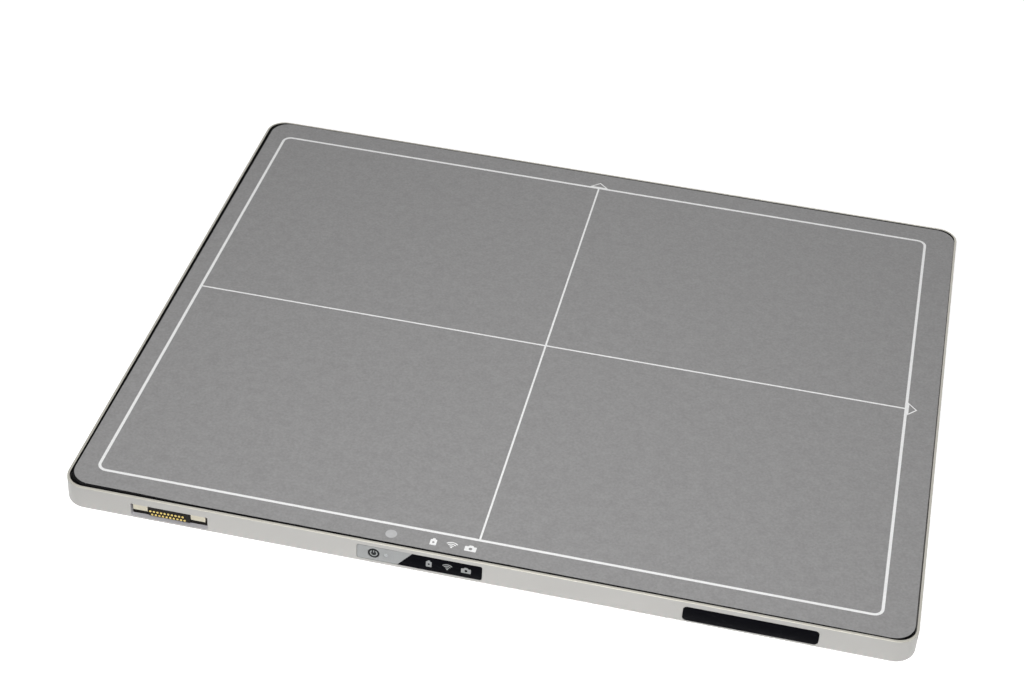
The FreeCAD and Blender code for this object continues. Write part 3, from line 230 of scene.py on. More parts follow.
def moulded(name, colour, roughness=0.5, grain=0.4, depth=0.02, sheen=0.35, gloss=0.5):
    """Moulded plastic or a textured coat: fine grain, a little wear in its shine."""
    f = Finish(name, Specular_IOR_Level=gloss)
    fine = f.grain(grain, 3.0)
    cloud = f.grain(30.0, 2.0)
    light = [c + sheen * 0.05 * (1 - c) for c in colour]
    f.wear("Base Color", f.blend(f.ramp(fine * cloud, 0.15, 0.35), colour, light))
    f.wear("Roughness", f.ramp(cloud, 0.3, 0.7, roughness - 0.05, roughness + 0.06))
    f.relief(fine, depth)
    return f.material


def rear_coat():
    """The rear cover's textured coat, with the open and shut marks printed beside the two pack locks."""
    f = Finish("cover_coat")
    fine = f.grain(0.7, 3.0)
    speck = f.cells(0.9)
    cloud = f.grain(90.0, 1.0)
    x, y, z = f.axes()
    across = abs(x - PACK_X)
    marks = 0
    for place, lift in ((LOCK_X + MARK_APART, BOW_LIFT), (LOCK_X - MARK_APART, 0.0)):
        along, up = across - place, y - MARK_Y
        case = (abs(along) < MARK_HALF[0]) * (abs(up + MARK_DROP) < MARK_HALF[1])
        above = up - BOW_Y - lift
        reach = (along * along + above * above) ** 0.5
        bow = (reach > BOW_R[0]) * (reach < BOW_R[1]) * (up > BOW_Y + lift)
        legs = (abs(abs(along) - 1.0) < 0.25) * (up > 1.0) * (up < 1.15 + lift)
        leg = legs * (along < 0) if lift else legs
        marks = marks + (case + bow + leg).clamp()
    marks = marks * (z < PRINT_Z)
    share = f.ramp(0.7 * fine + 0.3 * cloud, 0.35, 0.65)
    coat = f.blend(share, (0.030, 0.030, 0.033), (0.039, 0.039, 0.042))
    f.wear("Base Color", f.blend(marks, coat, (0.30, 0.305, 0.31)))
    f.wear("Roughness", f.ramp(speck, 0.1, 0.6, 0.48, 0.62))
    f.relief(fine + speck, 0.05)
    return f.material


def front_print_film():
    """The grey front film: matt, with the fine mottle of its ink."""
    f = Finish("film_matt_grey", Specular_IOR_Level=0.12)
    fine = f.grain(1.3, 4.0)
    mottle = f.grain(7.0, 3.0)
    share = f.ramp(0.65 * fine + 0.35 * mottle, 0.35, 0.65)
    f.wear("Base Color", f.blend(share, (0.252, 0.249, 0.249), (0.309, 0.306, 0.306)))
    f.wear("Roughness", f.ramp(mottle, 0.3, 0.7, 0.50, 0.60))
    f.relief(fine, 0.015)
    return f.material


def ink(name, colour):
    """Screen-printed ink: nearly flat, with a faint unevenness."""
    f = Finish(name)
    spread = f.grain(1.2, 3.0)
    worn = [0.94 * c for c in colour]
    f.wear("Base Color", f.blend(f.ramp(spread, 0.35, 0.6), worn, colour))
    f.wear("Roughness", f.ramp(spread, 0.3, 0.7, 0.40, 0.52))
    return f.material


def dark_window(name):
    """Smoked window: glossy black with a trace of handling."""
    f = Finish(name, Specular_IOR_Level=0.02)
    smear = f.grain(5.0, 3.0, (1, 1, 3))
    f.wear("Base Color", f.blend(smear, (0.0012, 0.0012, 0.0022), (0.003, 0.003, 0.0045)))
    f.wear("Roughness", f.ramp(smear, 0.35, 0.7, 0.16, 0.30))
    return f.material


def carbon_plate():
    """Carbon-fibre laminate in a two by two twill."""
    f = Finish("carbon_twill", Specular_IOR_Level=0.06)
    x, y, _ = f.axes()
    tow = 1.8
    over = ((x / tow).floor() + (y / tow).floor()) % 4 < 2
    along_x = abs((math.pi * (y / tow)).sine())
    along_y = abs((math.pi * (x / tow)).sine())
    crown = over * along_x + (1 - over) * along_y
    share = crown * 0.6 + over * 0.4
    f.wear("Base Color", f.blend(share, (0.002, 0.002, 0.002), (0.009, 0.009, 0.010)))
    f.wear("Roughness", f.ramp(f.grain(0.3), 0.3, 0.7, 0.32, 0.46))
    f.relief(crown, 0.05)
    return f.material


def brushed_screw(name, colour):
    """Plated screw steel, finely brushed."""
    f = Finish(name, Metallic=1.0)
    fine = f.grain(0.12, 2.0)
    cloud = f.grain(2.0)
    f.wear("Base Color", f.blend(f.ramp(cloud, 0.35, 0.65), [0.85 * c for c in colour], colour))
    f.wear("Roughness", f.ramp(fine, 0.3, 0.7, 0.22, 0.38))
    f.relief(fine, 0.006)
    return f.material


def plated(name, colour, roughness):
    """Bright plating, slightly uneven."""
    f = Finish(name, Metallic=1.0)
    cloud = f.grain(1.5, 3.0)
    f.wear("Base Color", f.blend(f.ramp(cloud, 0.3, 0.7), [0.88 * c for c in colour], colour))
    f.wear("Roughness", f.ramp(cloud, 0.3, 0.7, roughness - 0.06, roughness + 0.08))
    f.relief(f.grain(0.2, 2.0), 0.004)
    return f.material


def solder_mask():
    """Green board: traces under the mask, with a few uncovered pads."""
    f = Finish("board_mask", Coat_Weight=0.4, Coat_Roughness=0.2)
    x, y, _ = f.axes()
    turned = f.cells(9.0, out="Color")
    pick = f.node("ShaderNodeSeparateXYZ", [turned])
    level = abs((x * math.pi / 0.9).sine())
    upright = abs((y * math.pi / 0.9).sine())
    pattern = (pick > 0.5) * level + (1 - (pick > 0.5)) * upright
    trace = f.ramp(pattern, 0.55, 0.75)
    pads = f.cells(3.5) < 0.09
    green = f.blend(trace, (0.006, 0.062, 0.026), (0.014, 0.115, 0.048))
    f.wear("Base Color", f.blend(pads, green, (0.55, 0.50, 0.36)))
    f.wear("Metallic", pads)
    f.wear("Roughness", f.ramp(f.grain(1.0), 0.3, 0.7, 0.30, 0.42))
    f.relief(trace, 0.02)
    return f.material


def chip_resin():
    """Moulded chip package, finely grained."""
    f = Finish("chip_resin")
    fine = f.grain(0.18, 3.0)
    f.wear("Base Color", f.blend(fine, (0.012, 0.012, 0.014), (0.032, 0.032, 0.035)))
    f.wear("Roughness", f.ramp(f.grain(3.0), 0.3, 0.7, 0.42, 0.58))
    f.relief(fine, 0.01)
    return f.material


def ribbon_film(name, axis):
    """Amber film ribbon with its copper lines, which lie side by side along one axis."""
    f = Finish(name, Coat_Weight=0.3, Coat_Roughness=0.15)
    across = f.axes()[axis]
    lines = f.ramp(abs((across * math.pi / 0.8).sine()), 0.5, 0.7)
    f.wear("Base Color", f.blend(lines, (0.30, 0.115, 0.012), (0.52, 0.27, 0.075)))
    f.wear("Metallic", lines * 0.6)
    f.wear("Roughness", f.ramp(f.grain(4.0), 0.3, 0.7, 0.22, 0.36))
    f.relief(lines, 0.02)
    return f.material


def foil(name, colour, crease, roughness):
    """Foil or rolled sheet, with shallow creases and rolling marks."""
    f = Finish(name, Metallic=1.0)
    creases = f.grain(crease, 5.0)
    rolled = f.grain(0.5, 2.0, (0.03, 1, 1))
    share = f.ramp(rolled * 0.5 + creases * 0.5, 0.3, 0.7)
    f.wear("Base Color", f.blend(share, [0.82 * c for c in colour], colour))
    f.wear("Roughness", f.ramp(rolled, 0.3, 0.7, roughness - 0.06, roughness + 0.08))
    f.relief(creases, 0.25, 0.5)
    return f.material


def soft_pad(name, colour, cell):
    """Foam, felt or soft rubber with open cells."""
    f = Finish(name, Specular_IOR_Level=0.15)
    pores = f.cells(cell)
    f.wear("Base Color", f.blend(f.ramp(pores, 0.1, 0.6), [0.72 * c for c in colour], colour))
    f.wear("Roughness", f.ramp(f.grain(8.0), 0.3, 0.7, 0.78, 0.92))
    f.relief(pores, 0.08)
    return f.material


def pixel_glass():
    """Thin glass with its array of photodiodes as a faint grid."""
    f = Finish("array_glass", Coat_Weight=0.8, Coat_Roughness=0.04)
    x, y, _ = f.axes()
    columns, rows = (f.ramp(abs((way * math.pi / 1.4).sine()), 0.93, 0.99) for way in (x, y))
    grid = columns + rows
    shade = f.ramp(f.grain(90.0, 1.0), 0.3, 0.7)
    base = f.blend(shade, (0.045, 0.062, 0.105), (0.085, 0.070, 0.120))
    f.wear("Base Color", f.blend((grid * 0.4).clamp(), base, (0.26, 0.28, 0.34)))
    f.wear("Roughness", f.ramp(grid, 0.0, 1.0, 0.10, 0.22))
    return f.material


def clear_guide():
    """Clear light guide, slightly milky at its moulded faces."""
    f = Finish("light_guide_clear", Transmission_Weight=0.55, IOR=1.49)
    cloud = f.grain(2.0, 3.0)
    f.wear("Base Color", f.blend(cloud, (0.78, 0.80, 0.82), (0.92, 0.93, 0.94)))
    f.wear("Roughness", f.ramp(cloud, 0.3, 0.7, 0.12, 0.30))
    return f.material


def silver_film():
    """Silver printed film on the controls: flake in a matt lacquer."""
    f = Finish("overlay_silver", Metallic=0.45)
    flake = f.grain(0.15, 2.0)
    cloud = f.grain(9.0, 2.0)
    share = f.ramp(0.6 * flake + 0.4 * cloud, 0.35, 0.65)
    f.wear("Base Color", f.blend(share, (0.228, 0.233, 0.233), (0.278, 0.284, 0.284)))
    f.wear("Roughness", f.ramp(cloud, 0.3, 0.7, 0.36, 0.46))
    f.relief(flake, 0.006)
    return f.material


def machined_plate():
    """Milled plate: the tracks of the cutter, side by side."""
    f = Finish("plate_milled", Metallic=1.0)
    _, y, _ = f.axes()
    tracks = abs((y * math.pi / 12.0).sine())
    fine = f.grain(0.4, 2.0, (0.2, 1, 1))
    f.wear("Base Color", f.blend(0.5 * tracks + 0.5 * fine, (0.50, 0.51, 0.53), (0.66, 0.67, 0.68)))
    f.wear("Roughness", f.ramp(fine, 0.3, 0.7, 0.28, 0.42))
    f.relief(tracks, 0.02)
    return f.material


# The second colour given is the frame's painted highlight along its front edge
FRAME_METAL = satin_metal("frame_satin_metal", (0.365, 0.358, 0.345), (0.44, 0.425, 0.378))
RECESS_METAL = satin_metal("recess_milled_metal", (0.49, 0.48, 0.50), (0.49, 0.48, 0.50), 0.1)
FILM = front_print_film()
WHITE_INK = ink("ink_white", (0.86, 0.86, 0.86))
PALE_INK = ink("ink_pale_grey", (0.47, 0.47, 0.475))
GREY_INK = ink("ink_grey", (0.22, 0.225, 0.225))
CAP_INK = ink("ink_cap", (0.20, 0.21, 0.21))
# Painted shadow along the control overlay's edge, laid as a thin dark print
EDGE_SHADOW_PAINT = ink("overlay_shadow_paint", (0.17, 0.175, 0.17))
WINDOW = dark_window("window_smoked")
CARBON = carbon_plate()
GASKET = soft_pad("gasket_foam", (0.009, 0.009, 0.009), 0.3)
FOAM = soft_pad("cushion_foam", (0.78, 0.78, 0.76), 0.8)
PHOSPHOR = soft_pad("phosphor_layer", (0.86, 0.86, 0.84), 0.12)
GLASS = pixel_glass()
LEAD = foil("lead_sheet", (0.30, 0.31, 0.33), 30.0, 0.42)
PLATE = machined_plate()
SCREW = brushed_screw("screw_plated", (0.56, 0.56, 0.58))
BOARD = solder_mask()
CHIP = chip_resin()
RIBBON_X = ribbon_film("ribbon_amber_x", 0)
RIBBON_Y = ribbon_film("ribbon_amber_y", 1)
CAN = foil("can_tinned", (0.70, 0.70, 0.68), 8.0, 0.28)
PAD = soft_pad("thermal_pad", (0.30, 0.42, 0.52), 0.3)
LEAD_JACKET = moulded("coax_jacket", (0.022, 0.022, 0.024), 0.42, 0.25, 0.008)
COVER = rear_coat()
PACK = moulded("pack_moulding", (0.022, 0.022, 0.024), 0.48, 0.45, 0.035, 0.12)
BAY = moulded("bay_moulding", (0.030, 0.030, 0.030), 0.50, 0.5, 0.02)
LOCK = moulded("lock_moulding", (0.16, 0.165, 0.17), 0.42, 0.35, 0.02)
CELL = foil("cell_pouch", (0.66, 0.67, 0.69), 10.0, 0.26)
GOLD = plated("gold_plate", (0.64, 0.50, 0.17), 0.28)
NICKEL = plated("magnet_plate", (0.50, 0.47, 0.385), 0.42)
DOME = plated("dome_spring", (0.66, 0.66, 0.64), 0.22)
SILVER = silver_film()
GUIDE = clear_guide()
CAP = moulded("button_cap", (0.006, 0.007, 0.008), 0.40, 0.3, 0.01, 0.1, 0.12)
SOCKET = moulded("socket_moulding", (0.006, 0.005, 0.004), 0.45, 0.3, 0.012, 0.1, 0.1)
LENS = moulded("lamp_lens_milky", (0.30, 0.31, 0.315), 0.30, 0.3, 0.002)

FINISHES = {
    "side_frame": FRAME_METAL, "front_panel": CARBON, "front_film": FILM, "panel_gasket": GASKET,
    "front_cushion": FOAM, "scintillator": PHOSPHOR, "sensor_glass": GLASS, "lead_shield": LEAD,
    "base_plate": PLATE, "base_plate_screws": SCREW, "readout_ribbons": RIBBON_X, "readout_chips": CHIP,
    "readout_board": BOARD, "gate_ribbons": RIBBON_Y, "gate_chips": CHIP, "gate_board": BOARD,
    "main_board": BOARD, "main_chips": CHIP, "shield_can": CAN, "thermal_pads": PAD,
    "power_board": BOARD, "power_parts": CHIP, "radio_module": CAN, "antenna_cables": LEAD_JACKET,
    "antenna_boards": BOARD, "board_standoffs": SCREW, "board_screws": SCREW, "link_cables": RIBBON_X,
    "rear_cover": COVER, "rear_gasket": GASKET, "rear_cover_screws": SCREW, "battery_case": PACK,
    "battery_plate": PACK, "battery_end_bars": PACK, "battery_lid": PACK, "battery_seal": GASKET,
    "battery_cells": CELL, "battery_board": BOARD, "battery_contacts": GOLD, "battery_bay": BAY,
    "bay_contacts": GOLD, "battery_lock_left": SCREW, "battery_lock_right": SCREW,
    "battery_grip_left": LOCK, "battery_grip_right": LOCK, "control_overlay": SILVER,
    "status_window": WINDOW, "status_light_guides": GUIDE, "status_leds": GUIDE, "power_button": CAP,
    "button_seal": GASKET, "button_dome": DOME, "power_led_lens": LENS, "control_board": BOARD,
    "antenna_window": WINDOW, "connector_body": SOCKET, "contact_pins": GOLD,
    "connector_magnets": NICKEL, "connector_board": BOARD,
}
for name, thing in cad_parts.items():
    for slot in thing.material_slots:
        slot.material = FINISHES[name]


# Pieces

# Angles between two faces, in degrees, and the distance in mm below which corners are one
FLAT_TURN = 0.5
SMOOTH_TURN = 35
CRISP_TURN = 50
MERGE = 0.001

# How the film lies on its plate, in mm: shifted right and back, and short of the near left corner
FILM_RIGHT = 0.17
FILM_BACK = 0.1
FILM_BACK_FAR = 0.18
FILM_LEFT_MORE = 0.25
FILM_NEAR_MORE = 0.9
FILM_END_X = 215
FILM_END_Y = 175
NEAR_CUTS = (-150, -160, -170, -180, -190, -205)
LEFT_CUTS = (-150, -130, -110, -90, -70)


def finished(name, mesh, finish, body="detector", smooth=0):
    """A piece that rides on a body. Faces that meet flatter than the angle shade as one surface."""
    for face in mesh.faces:
        face.smooth = smooth > 0
    for edge in mesh.edges:
        edge.smooth = edge.calc_face_angle(0) < math.radians(smooth)
    data = bpy.data.meshes.new(name)
    mesh.to_mesh(data)
    mesh.free()
    data.materials.append(finish)
    thing = bpy.data.objects.new(name, data)
    bpy.context.scene.collection.objects.link(thing)
    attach(thing, body)
    return thing


def softened(name, node, body="detector", edge=0.0, shape=None):
    """A node's own shape with its rounds shaded smooth and, where given, its edges broken, in mm."""
    mesh = bmesh.new()
    mesh.from_mesh(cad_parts[node].data)
    bmesh.ops.remove_doubles(mesh, verts=mesh.verts, dist=MERGE * MM)
    if shape:
        shape(mesh)
    if edge:
        bmesh.ops.dissolve_limit(mesh, angle_limit=math.radians(FLAT_TURN), verts=mesh.verts,
                                 edges=mesh.edges, delimit={"NORMAL"})
        crisp = [e for e in mesh.edges if e.calc_face_angle(0) > math.radians(CRISP_TURN)]
        bmesh.ops.bevel(mesh, geom=crisp, offset=edge * MM, offset_type="OFFSET", affect="EDGES", segments=2,
                        profile=0.5, material=-1, clamp_overlap=True)
    thing = finished(name, mesh, FINISHES[node], body, SMOOTH_TURN)
    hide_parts(node)
    return thing


def faced(thing, finish, low, high, upright=None):
    """Gives another finish to the faces whose middles lie in a box, all of them or the upright ones."""
    thing.data.materials.append(finish)
    for face in thing.data.polygons:
        inside = all(a <= m <= b for a, m, b in zip(low, face.center, high))
        if inside and (upright is None or upright == (abs(face.normal.z) < 0.5)):
            face.material_index = len(thing.data.materials) - 1


def eased(value, start, end):
    """0 before the start, 1 past the end, and a smooth rise between them."""
    share = min(max((value - start) / (end - start), 0), 1)
    return share * share * (3 - 2 * share)


def laid_film(mesh):
    """Lays the film as it is seen on its plate: out to the far edges, short of the near left corner."""
    for axis, cuts in ((0, NEAR_CUTS), (1, LEFT_CUTS)):
        for cut in cuts:
            place = Vector((0, 0, 0))
            place[axis] = 1
            bmesh.ops.bisect_plane(mesh, geom=[*mesh.verts, *mesh.edges, *mesh.faces],
                                   plane_co=place * cut * MM, plane_no=place)
    for vert in mesh.verts:
        x, y = vert.co.x / MM, vert.co.y / MM
        right, back = FILM_RIGHT, FILM_BACK
        if x < -FILM_END_X:
            right += FILM_LEFT_MORE * eased(y, LEFT_CUTS[0], LEFT_CUTS[-1])
        if y > FILM_END_Y:
            back = FILM_BACK_FAR
        elif y < -FILM_END_Y:
            back += FILM_NEAR_MORE * eased(x, NEAR_CUTS[0], NEAR_CUTS[-1])
        vert.co += Vector((right, back, 0)) * MM


rim = softened("frame_rim", "side_frame")
panel_low, panel_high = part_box("front_panel")
film_low, film_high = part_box("front_film")
beside = Vector((1.5, 1.5, 0)) * MM
# The rim's pocket walls around the panel wear the black foam finish: painted shade that darkens the gap
# around the panel
faced(rim, GASKET, panel_low - beside, panel_high + beside + Vector((0, 0, 0.2)) * MM)
socket_low, socket_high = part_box("connector_body")
faced(rim, RECESS_METAL, socket_low - Vector((1, 4, 1)) * MM, socket_high + Vector((1, 0, 1)) * MM)
softened("panel_plate", "front_panel")
sheet = softened("film_sheet", "front_film", shape=laid_film)
# The film's upright edges wear the carbon finish: painted shade that darkens the gap around the panel
faced(sheet, CARBON, film_low - beside, film_high + beside, True)
softened("rear_plate", "rear_cover")
softened("rear_screws", "rear_cover_screws")
softened("radio_window", "antenna_window", edge=0.12)
softened("icon_window", "status_window", edge=0.08)
softened("control_film", "control_overlay")
softened("button_cap", "power_button", "power_button", edge=0.12)
softened("led_lens", "power_led_lens", edge=0.1)
click_dome = softened("click_dome", "button_dome")
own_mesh(click_dome)
softened("magnets", "connector_magnets", edge=0.15)
softened("socket_insert", "connector_body")
softened("pack_plate", "battery_plate", "battery_pack")
softened("lock_slide_left", "battery_grip_left", "lock_left", edge=0.12)
softened("lock_slide_right", "battery_grip_right", "lock_right", edge=0.12)


# Printed marks: a few hundredths of a millimetre of ink

INK_T = 0.03
FILM_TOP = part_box("front_film")[1].z / MM
WALL_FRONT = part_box("status_window")[0].y / MM
UPRIGHT = Matrix.Rotation(math.pi / 2, 4, "X")
ON_FILM = Matrix.Translation((0, 0, FILM_TOP * MM)) @ Matrix.Scale(MM, 4)
ON_WALL = Matrix.Translation((0, WALL_FRONT * MM, 0)) @ UPRIGHT @ Matrix.Scale(MM, 4)


def patch(mesh, width, height, at=(0, 0), radius=0.0):
    """A flat rectangle, its corners rounded."""
    made = bmesh.ops.create_grid(mesh, x_segments=1, y_segments=1, size=0.5)
    size = Matrix.Diagonal((width, height, 1, 1))
    bmesh.ops.transform(mesh, matrix=Matrix.Translation((*at, 0)) @ size, verts=made["verts"])
    if radius:
        bmesh.ops.bevel(mesh, geom=made["verts"], offset=radius, offset_type="OFFSET", affect="VERTICES",
                        segments=8, profile=0.5, material=-1)


def outline(mesh, corners, rounding=0.0):
    """A flat shape from a few corners, each rounded a little."""
    made = [mesh.verts.new((x, y, 0)) for x, y in corners]
    mesh.faces.new(made).normal_update()
    if rounding:
        bmesh.ops.bevel(mesh, geom=made, offset=rounding, offset_type="OFFSET", affect="VERTICES", segments=3,
                        profile=0.5, material=-1)


def line_only(mesh, width):
    """Keeps a line of this width along the inside of the shape's edge."""
    middle = mesh.faces[:]
    bmesh.ops.inset_region(mesh, faces=middle, thickness=width, use_even_offset=True, use_boundary=True)
    bmesh.ops.delete(mesh, geom=middle, context="FACES")


def hole(mesh, radius, at=(0, 0)):
    """Opens a round hole in the only face there is."""
    bmesh.ops.delete(mesh, geom=mesh.faces[:], context="FACES_ONLY")
    place = Matrix.Translation((*at, 0))
    bmesh.ops.create_circle(mesh, cap_ends=False, radius=radius, segments=20, matrix=place)
    bmesh.ops.triangle_fill(mesh, edges=mesh.edges[:], use_beauty=True)


def disc(mesh, radius, at=(0, 0)):
    place = Matrix.Translation((*at, 0))
    bmesh.ops.create_circle(mesh, cap_ends=True, radius=radius, segments=32, matrix=place)


def arc(mesh, inner, outer, start, sweep, at=(0, 0)):
    """A flat band round a point: a short edge spun about it."""
    along, up = math.cos(math.radians(start)), math.sin(math.radians(start))
    ends = [mesh.verts.new((at[0] + r * along, at[1] + r * up, 0)) for r in (inner, outer)]
    edge = mesh.edges.new(ends)
    bmesh.ops.spin(mesh, geom=[*ends, edge], cent=(*at, 0), axis=(0, 0, 1), angle=math.radians(sweep),
                   steps=round(sweep / 7), use_merge=False)


def printed(name, mesh, finish, place, body="detector"):
    """Gives a flat shape its ink and lays it in place."""
    made = bmesh.ops.extrude_face_region(mesh, geom=mesh.faces[:])
    raised = [v for v in made["geom"] if isinstance(v, bmesh.types.BMVert)]
    bmesh.ops.translate(mesh, vec=(0, 0, INK_T), verts=raised)
    bmesh.ops.transform(mesh, matrix=place, verts=mesh.verts)
    bmesh.ops.recalc_face_normals(mesh, faces=mesh.faces)
    return finished(name, mesh, finish, body)


def shifted(place, x, y, size=1.0):
    """A mark's place on its face. Its size leaves the ink as thin as it is."""
    return place @ Matrix.Translation((x, y, 0)) @ Matrix.Diagonal((size, size, 1, 1))


FIELD_X = -2.65
FIELD_Y = -0.4
FIELD_HALF = (213.0, 174.5)
BORDER_LINE = 1.65
BORDER_R = 5.8
CROSS_LINE = 1.1

border = bmesh.new()
patch(border, 2 * FIELD_HALF[0] + BORDER_LINE, 2 * FIELD_HALF[1] + BORDER_LINE, radius=BORDER_R)
line_only(border, BORDER_LINE)
printed("field_border", border, WHITE_INK, shifted(ON_FILM, FIELD_X, FIELD_Y))

cross = bmesh.new()
reach_x, reach_y = (half - BORDER_LINE / 2 for half in FIELD_HALF)
arm = reach_x - CROSS_LINE / 2
patch(cross, CROSS_LINE, 2 * reach_y)
for side in (-1, 1):
    patch(cross, arm, CROSS_LINE, (side * (CROSS_LINE + arm) / 2, 0))
printed("field_cross", cross, WHITE_INK, shifted(ON_FILM, FIELD_X, FIELD_Y))

ARROW_HALF = 6.0
ARROW_RISE = 5.6
ARROW_LINE = 0.7
for name, x, y, turn in (("arrow_back", FIELD_X, FIELD_Y + FIELD_HALF[1], 0),
                         ("arrow_right", FIELD_X + FIELD_HALF[0], FIELD_Y, -90)):
    arrow = bmesh.new()
    base = BORDER_LINE / 2
    outline(arrow, [(-ARROW_HALF, base), (ARROW_HALF, base), (0, base + ARROW_RISE)])
    line_only(arrow, ARROW_LINE)
    printed(name, arrow, WHITE_INK, shifted(ON_FILM, x, y) @ Matrix.Rotation(math.radians(turn), 4, "Z"))


def battery_icon():
    mesh = bmesh.new()
    outline(mesh, [(-0.34, -0.5), (0.34, -0.5), (0.34, 0.33), (0.15, 0.33), (0.15, 0.5), (-0.15, 0.5),
                   (-0.15, 0.33), (-0.34, 0.33)], 0.06)
    hole(mesh, 0.13, (0, -0.08))
    return mesh


def radio_icon():
    mesh = bmesh.new()
    for inner, outer in ((0.30, 0.46), (0.62, 0.78), (0.94, 1.10)):
        arc(mesh, inner * 0.92, outer * 0.92, 45, 90, (0, -0.5))
    disc(mesh, 0.13, (0, -0.42))
    return mesh


def camera_icon():
    mesh = bmesh.new()
    outline(mesh, [(-0.62, -0.45), (0.62, -0.45), (0.62, 0.27), (0.30, 0.27), (0.19, 0.45), (-0.19, 0.45),
                   (-0.30, 0.27), (-0.62, 0.27)], 0.07)
    hole(mesh, 0.19, (0, -0.07))
    return mesh


ICONS = (("battery", battery_icon, -26.0, 5.2, 4.5), ("radio", radio_icon, -16.0, 4.4, 3.8),
         ("camera", camera_icon, -5.9, 5.1, 4.25))
ICON_Y = -182.4
WALL_ICON_Z = 7.65
for word, shape, x, film_size, wall_size in ICONS:
    printed(word + "_mark_front", shape(), WHITE_INK, shifted(ON_FILM, x, ICON_Y, film_size))
    printed(word + "_mark_wall", shape(), GREY_INK, shifted(ON_WALL, x, WALL_ICON_Z, wall_size))

CAP_LOW, CAP_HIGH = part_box("power_button")
CAP_MIDDLE = (CAP_LOW + CAP_HIGH) / 2
ON_CAP = Matrix.Translation((CAP_MIDDLE.x, CAP_LOW.y, CAP_MIDDLE.z)) @ UPRIGHT @ Matrix.Scale(MM, 4)
sign = bmesh.new()
arc(sign, 1.45, 2.10, 122, 296)
patch(sign, 0.55, 1.5, (0, 1.15))
printed("power_mark", sign, CAP_INK, ON_CAP, "power_button")

# A thin dark line along the overlay's edge, up to the window: the painted shadow of the overlay's edge, laid
# like print
overlay_low, overlay_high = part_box("control_overlay")
window_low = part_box("status_window")[0]
shadow_line = bmesh.new()
wide, high = (overlay_high.x - overlay_low.x) / MM, (overlay_high.z - overlay_low.z) / MM
patch(shadow_line, wide, high, radius=1.2)
line_only(shadow_line, 0.28)
bmesh.ops.bisect_plane(shadow_line, geom=[*shadow_line.verts, *shadow_line.edges, *shadow_line.faces],
                       plane_co=((window_low.x / MM) - (overlay_low.x + overlay_high.x) / 2 / MM, 0, 0),
                       plane_no=(1, 0, 0), clear_outer=True)
middle = (overlay_low + overlay_high) / 2 / MM
printed("overlay_edge_shadow", shadow_line, EDGE_SHADOW_PAINT, shifted(ON_WALL, middle.x, middle.z))

dot = bmesh.new()
disc(dot, 3.1)
printed("button_mark_front", dot, PALE_INK, shifted(ON_FILM, -49.0, -182.5))


# Studio

WORLD_LIGHT = 0.13
FLOOR_SIZE = 6.0
FLOOR_DROP = 0.3
FLOOR_RUN = (350.0, 1500.0)
FLOOR_LIFT = (0.55, 1.0)

# Each lamp: name, place, target and size in metres, fan in degrees, power in watts
LAMPS = (("key_lamp", (0.02, -1.25, 1.0), (-0.02, -0.06, 0), 0.7, 60, 3.75),
         ("back_lamp", (0.2, 1.7, 0.28), (0, 0.1, 0), 1.0, 90, 1.6),
         ("right_lamp", (1.5, -0.55, 0.42), (0.1, -0.05, 0), 0.6, 80, 1.3),
         ("left_lamp", (-1.6, 0.3, 0.3), (-0.1, 0, 0), 0.6, 80, 1.2),
         ("under_lamp", (0.0, 0.0, -1.5), (0, 0, 0), 0.25, 70, 4.0))


class Sky(Finish):
    """A world made of the same nodes as a finish."""

    def __init__(self, name, **constants):
        self.world = bpy.data.worlds.new(name)
        self.begin(self.world, "Background", constants)


def white_backdrop():
    """A world that is white where it is seen or mirrored, and a low fill light elsewhere."""
    sky = Sky("studio", Color=(1, 1, 1, 1))
    sky.wear("Strength", sky.ramp(sky.looked_at(), 0.0, 1.0, WORLD_LIGHT, 1.0))
    bpy.context.scene.world = sky.world


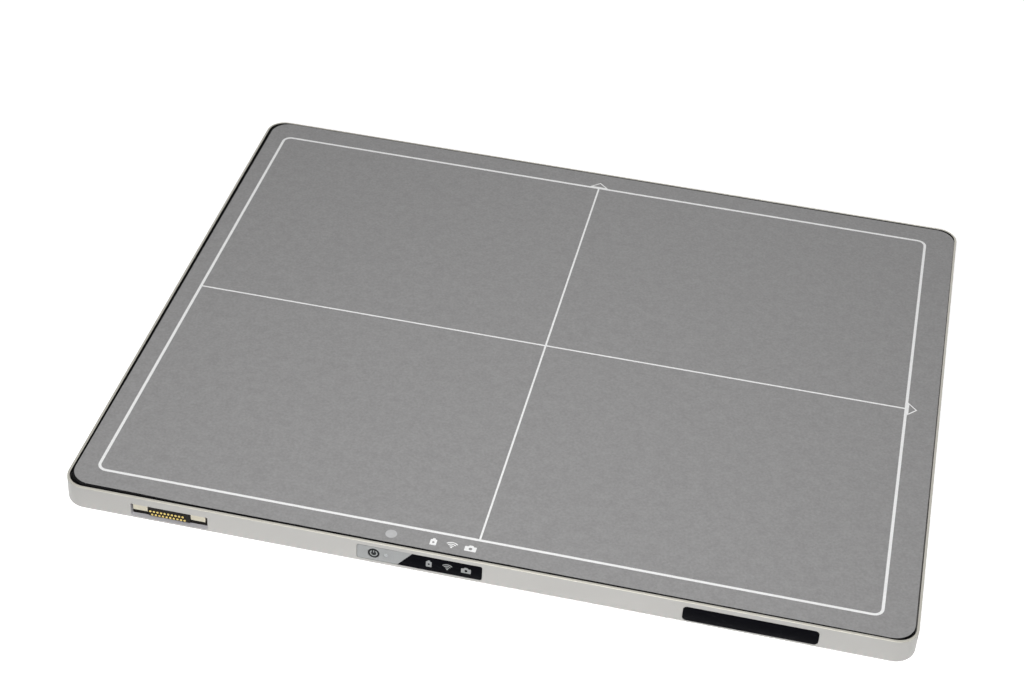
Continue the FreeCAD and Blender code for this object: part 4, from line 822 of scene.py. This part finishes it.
def white_floor():
    """Paper under the object. It is clear from below, so that the back can be looked at."""
    sheet = bmesh.new()
    bmesh.ops.create_grid(sheet, x_segments=1, y_segments=1, size=FLOOR_SIZE)
    bmesh.ops.translate(sheet, vec=(0, 0, -FLOOR_DROP * MM), verts=sheet.verts)
    data = bpy.data.meshes.new("studio_floor")
    sheet.to_mesh(data)
    sheet.free()
    floor = bpy.data.objects.new("studio_floor", data)
    bpy.context.scene.collection.objects.link(floor)
    paper = Finish("floor_paper", Roughness=0.9, Specular_IOR_Level=0.1, Emission_Strength=1.0)
    paper.wear("Base Color", paper.blend(paper.grain(400.0), (0.85, 0.85, 0.85), (0.87, 0.87, 0.87)))
    x, y, _ = paper.axes()
    lift = paper.ramp((x * x + y * y) ** 0.5, *FLOOR_RUN, *FLOOR_LIFT)
    paper.wear("Emission Color", paper.blend(paper.looked_at() * lift, (0, 0, 0), (1, 1, 1)))
    below = paper.node("ShaderNodeNewGeometry", out="Backfacing")
    shadows = paper.node("ShaderNodeLightPath", out="Is Shadow Ray")
    clear = paper.node("ShaderNodeBsdfTransparent")
    lit = Signal(paper, paper.shader.outputs[0])
    seen = paper.node("ShaderNodeMixShader", [(below + shadows).clamp(), lit, clear])
    paper.tree.links.new(seen.socket, paper.tree.nodes["Material Output"].inputs["Surface"])
    data.materials.append(paper.material)


def studio_lamps():
    for name, place, target, size, fan, power in LAMPS:
        lamp = bpy.data.lights.new(name, "AREA")
        lamp.shape = "SQUARE"
        lamp.size = size
        lamp.spread = math.radians(fan)
        lamp.energy = power
        thing = bpy.data.objects.new(name, lamp)
        thing.location = place
        aim = Vector(target) - Vector(place)
        thing.rotation_euler = aim.to_track_quat("-Z", "Y").to_euler()
        bpy.context.scene.collection.objects.link(thing)


bpy.context.scene.view_settings.view_transform = "Standard"
white_backdrop()
white_floor()
studio_lamps()

# The camera stands where the photograph was taken from

EYE = Vector((0.15276, -1.00802, 0.80110))
AIM = Vector((-0.02252, -0.00292, 0.01485))
ROLL = math.radians(3.841)
FOCAL_LENGTH = 76.54
SENSOR_WIDTH = 36.0
forward = (AIM - EYE).normalized()
level_right = forward.cross(Vector((0, 0, 1))).normalized()
level_up = level_right.cross(forward)
right = math.cos(ROLL) * level_right + math.sin(ROLL) * level_up
up = right.cross(forward)
lens = bpy.data.cameras.new("photo_camera")
lens.lens = FOCAL_LENGTH
lens.sensor_width = SENSOR_WIDTH
camera = bpy.data.objects.new("photo_camera", lens)
camera.matrix_world = Matrix.Translation(EYE) @ Matrix((right, up, -forward)).transposed().to_4x4()
bpy.context.scene.collection.objects.link(camera)
bpy.context.scene.camera = camera
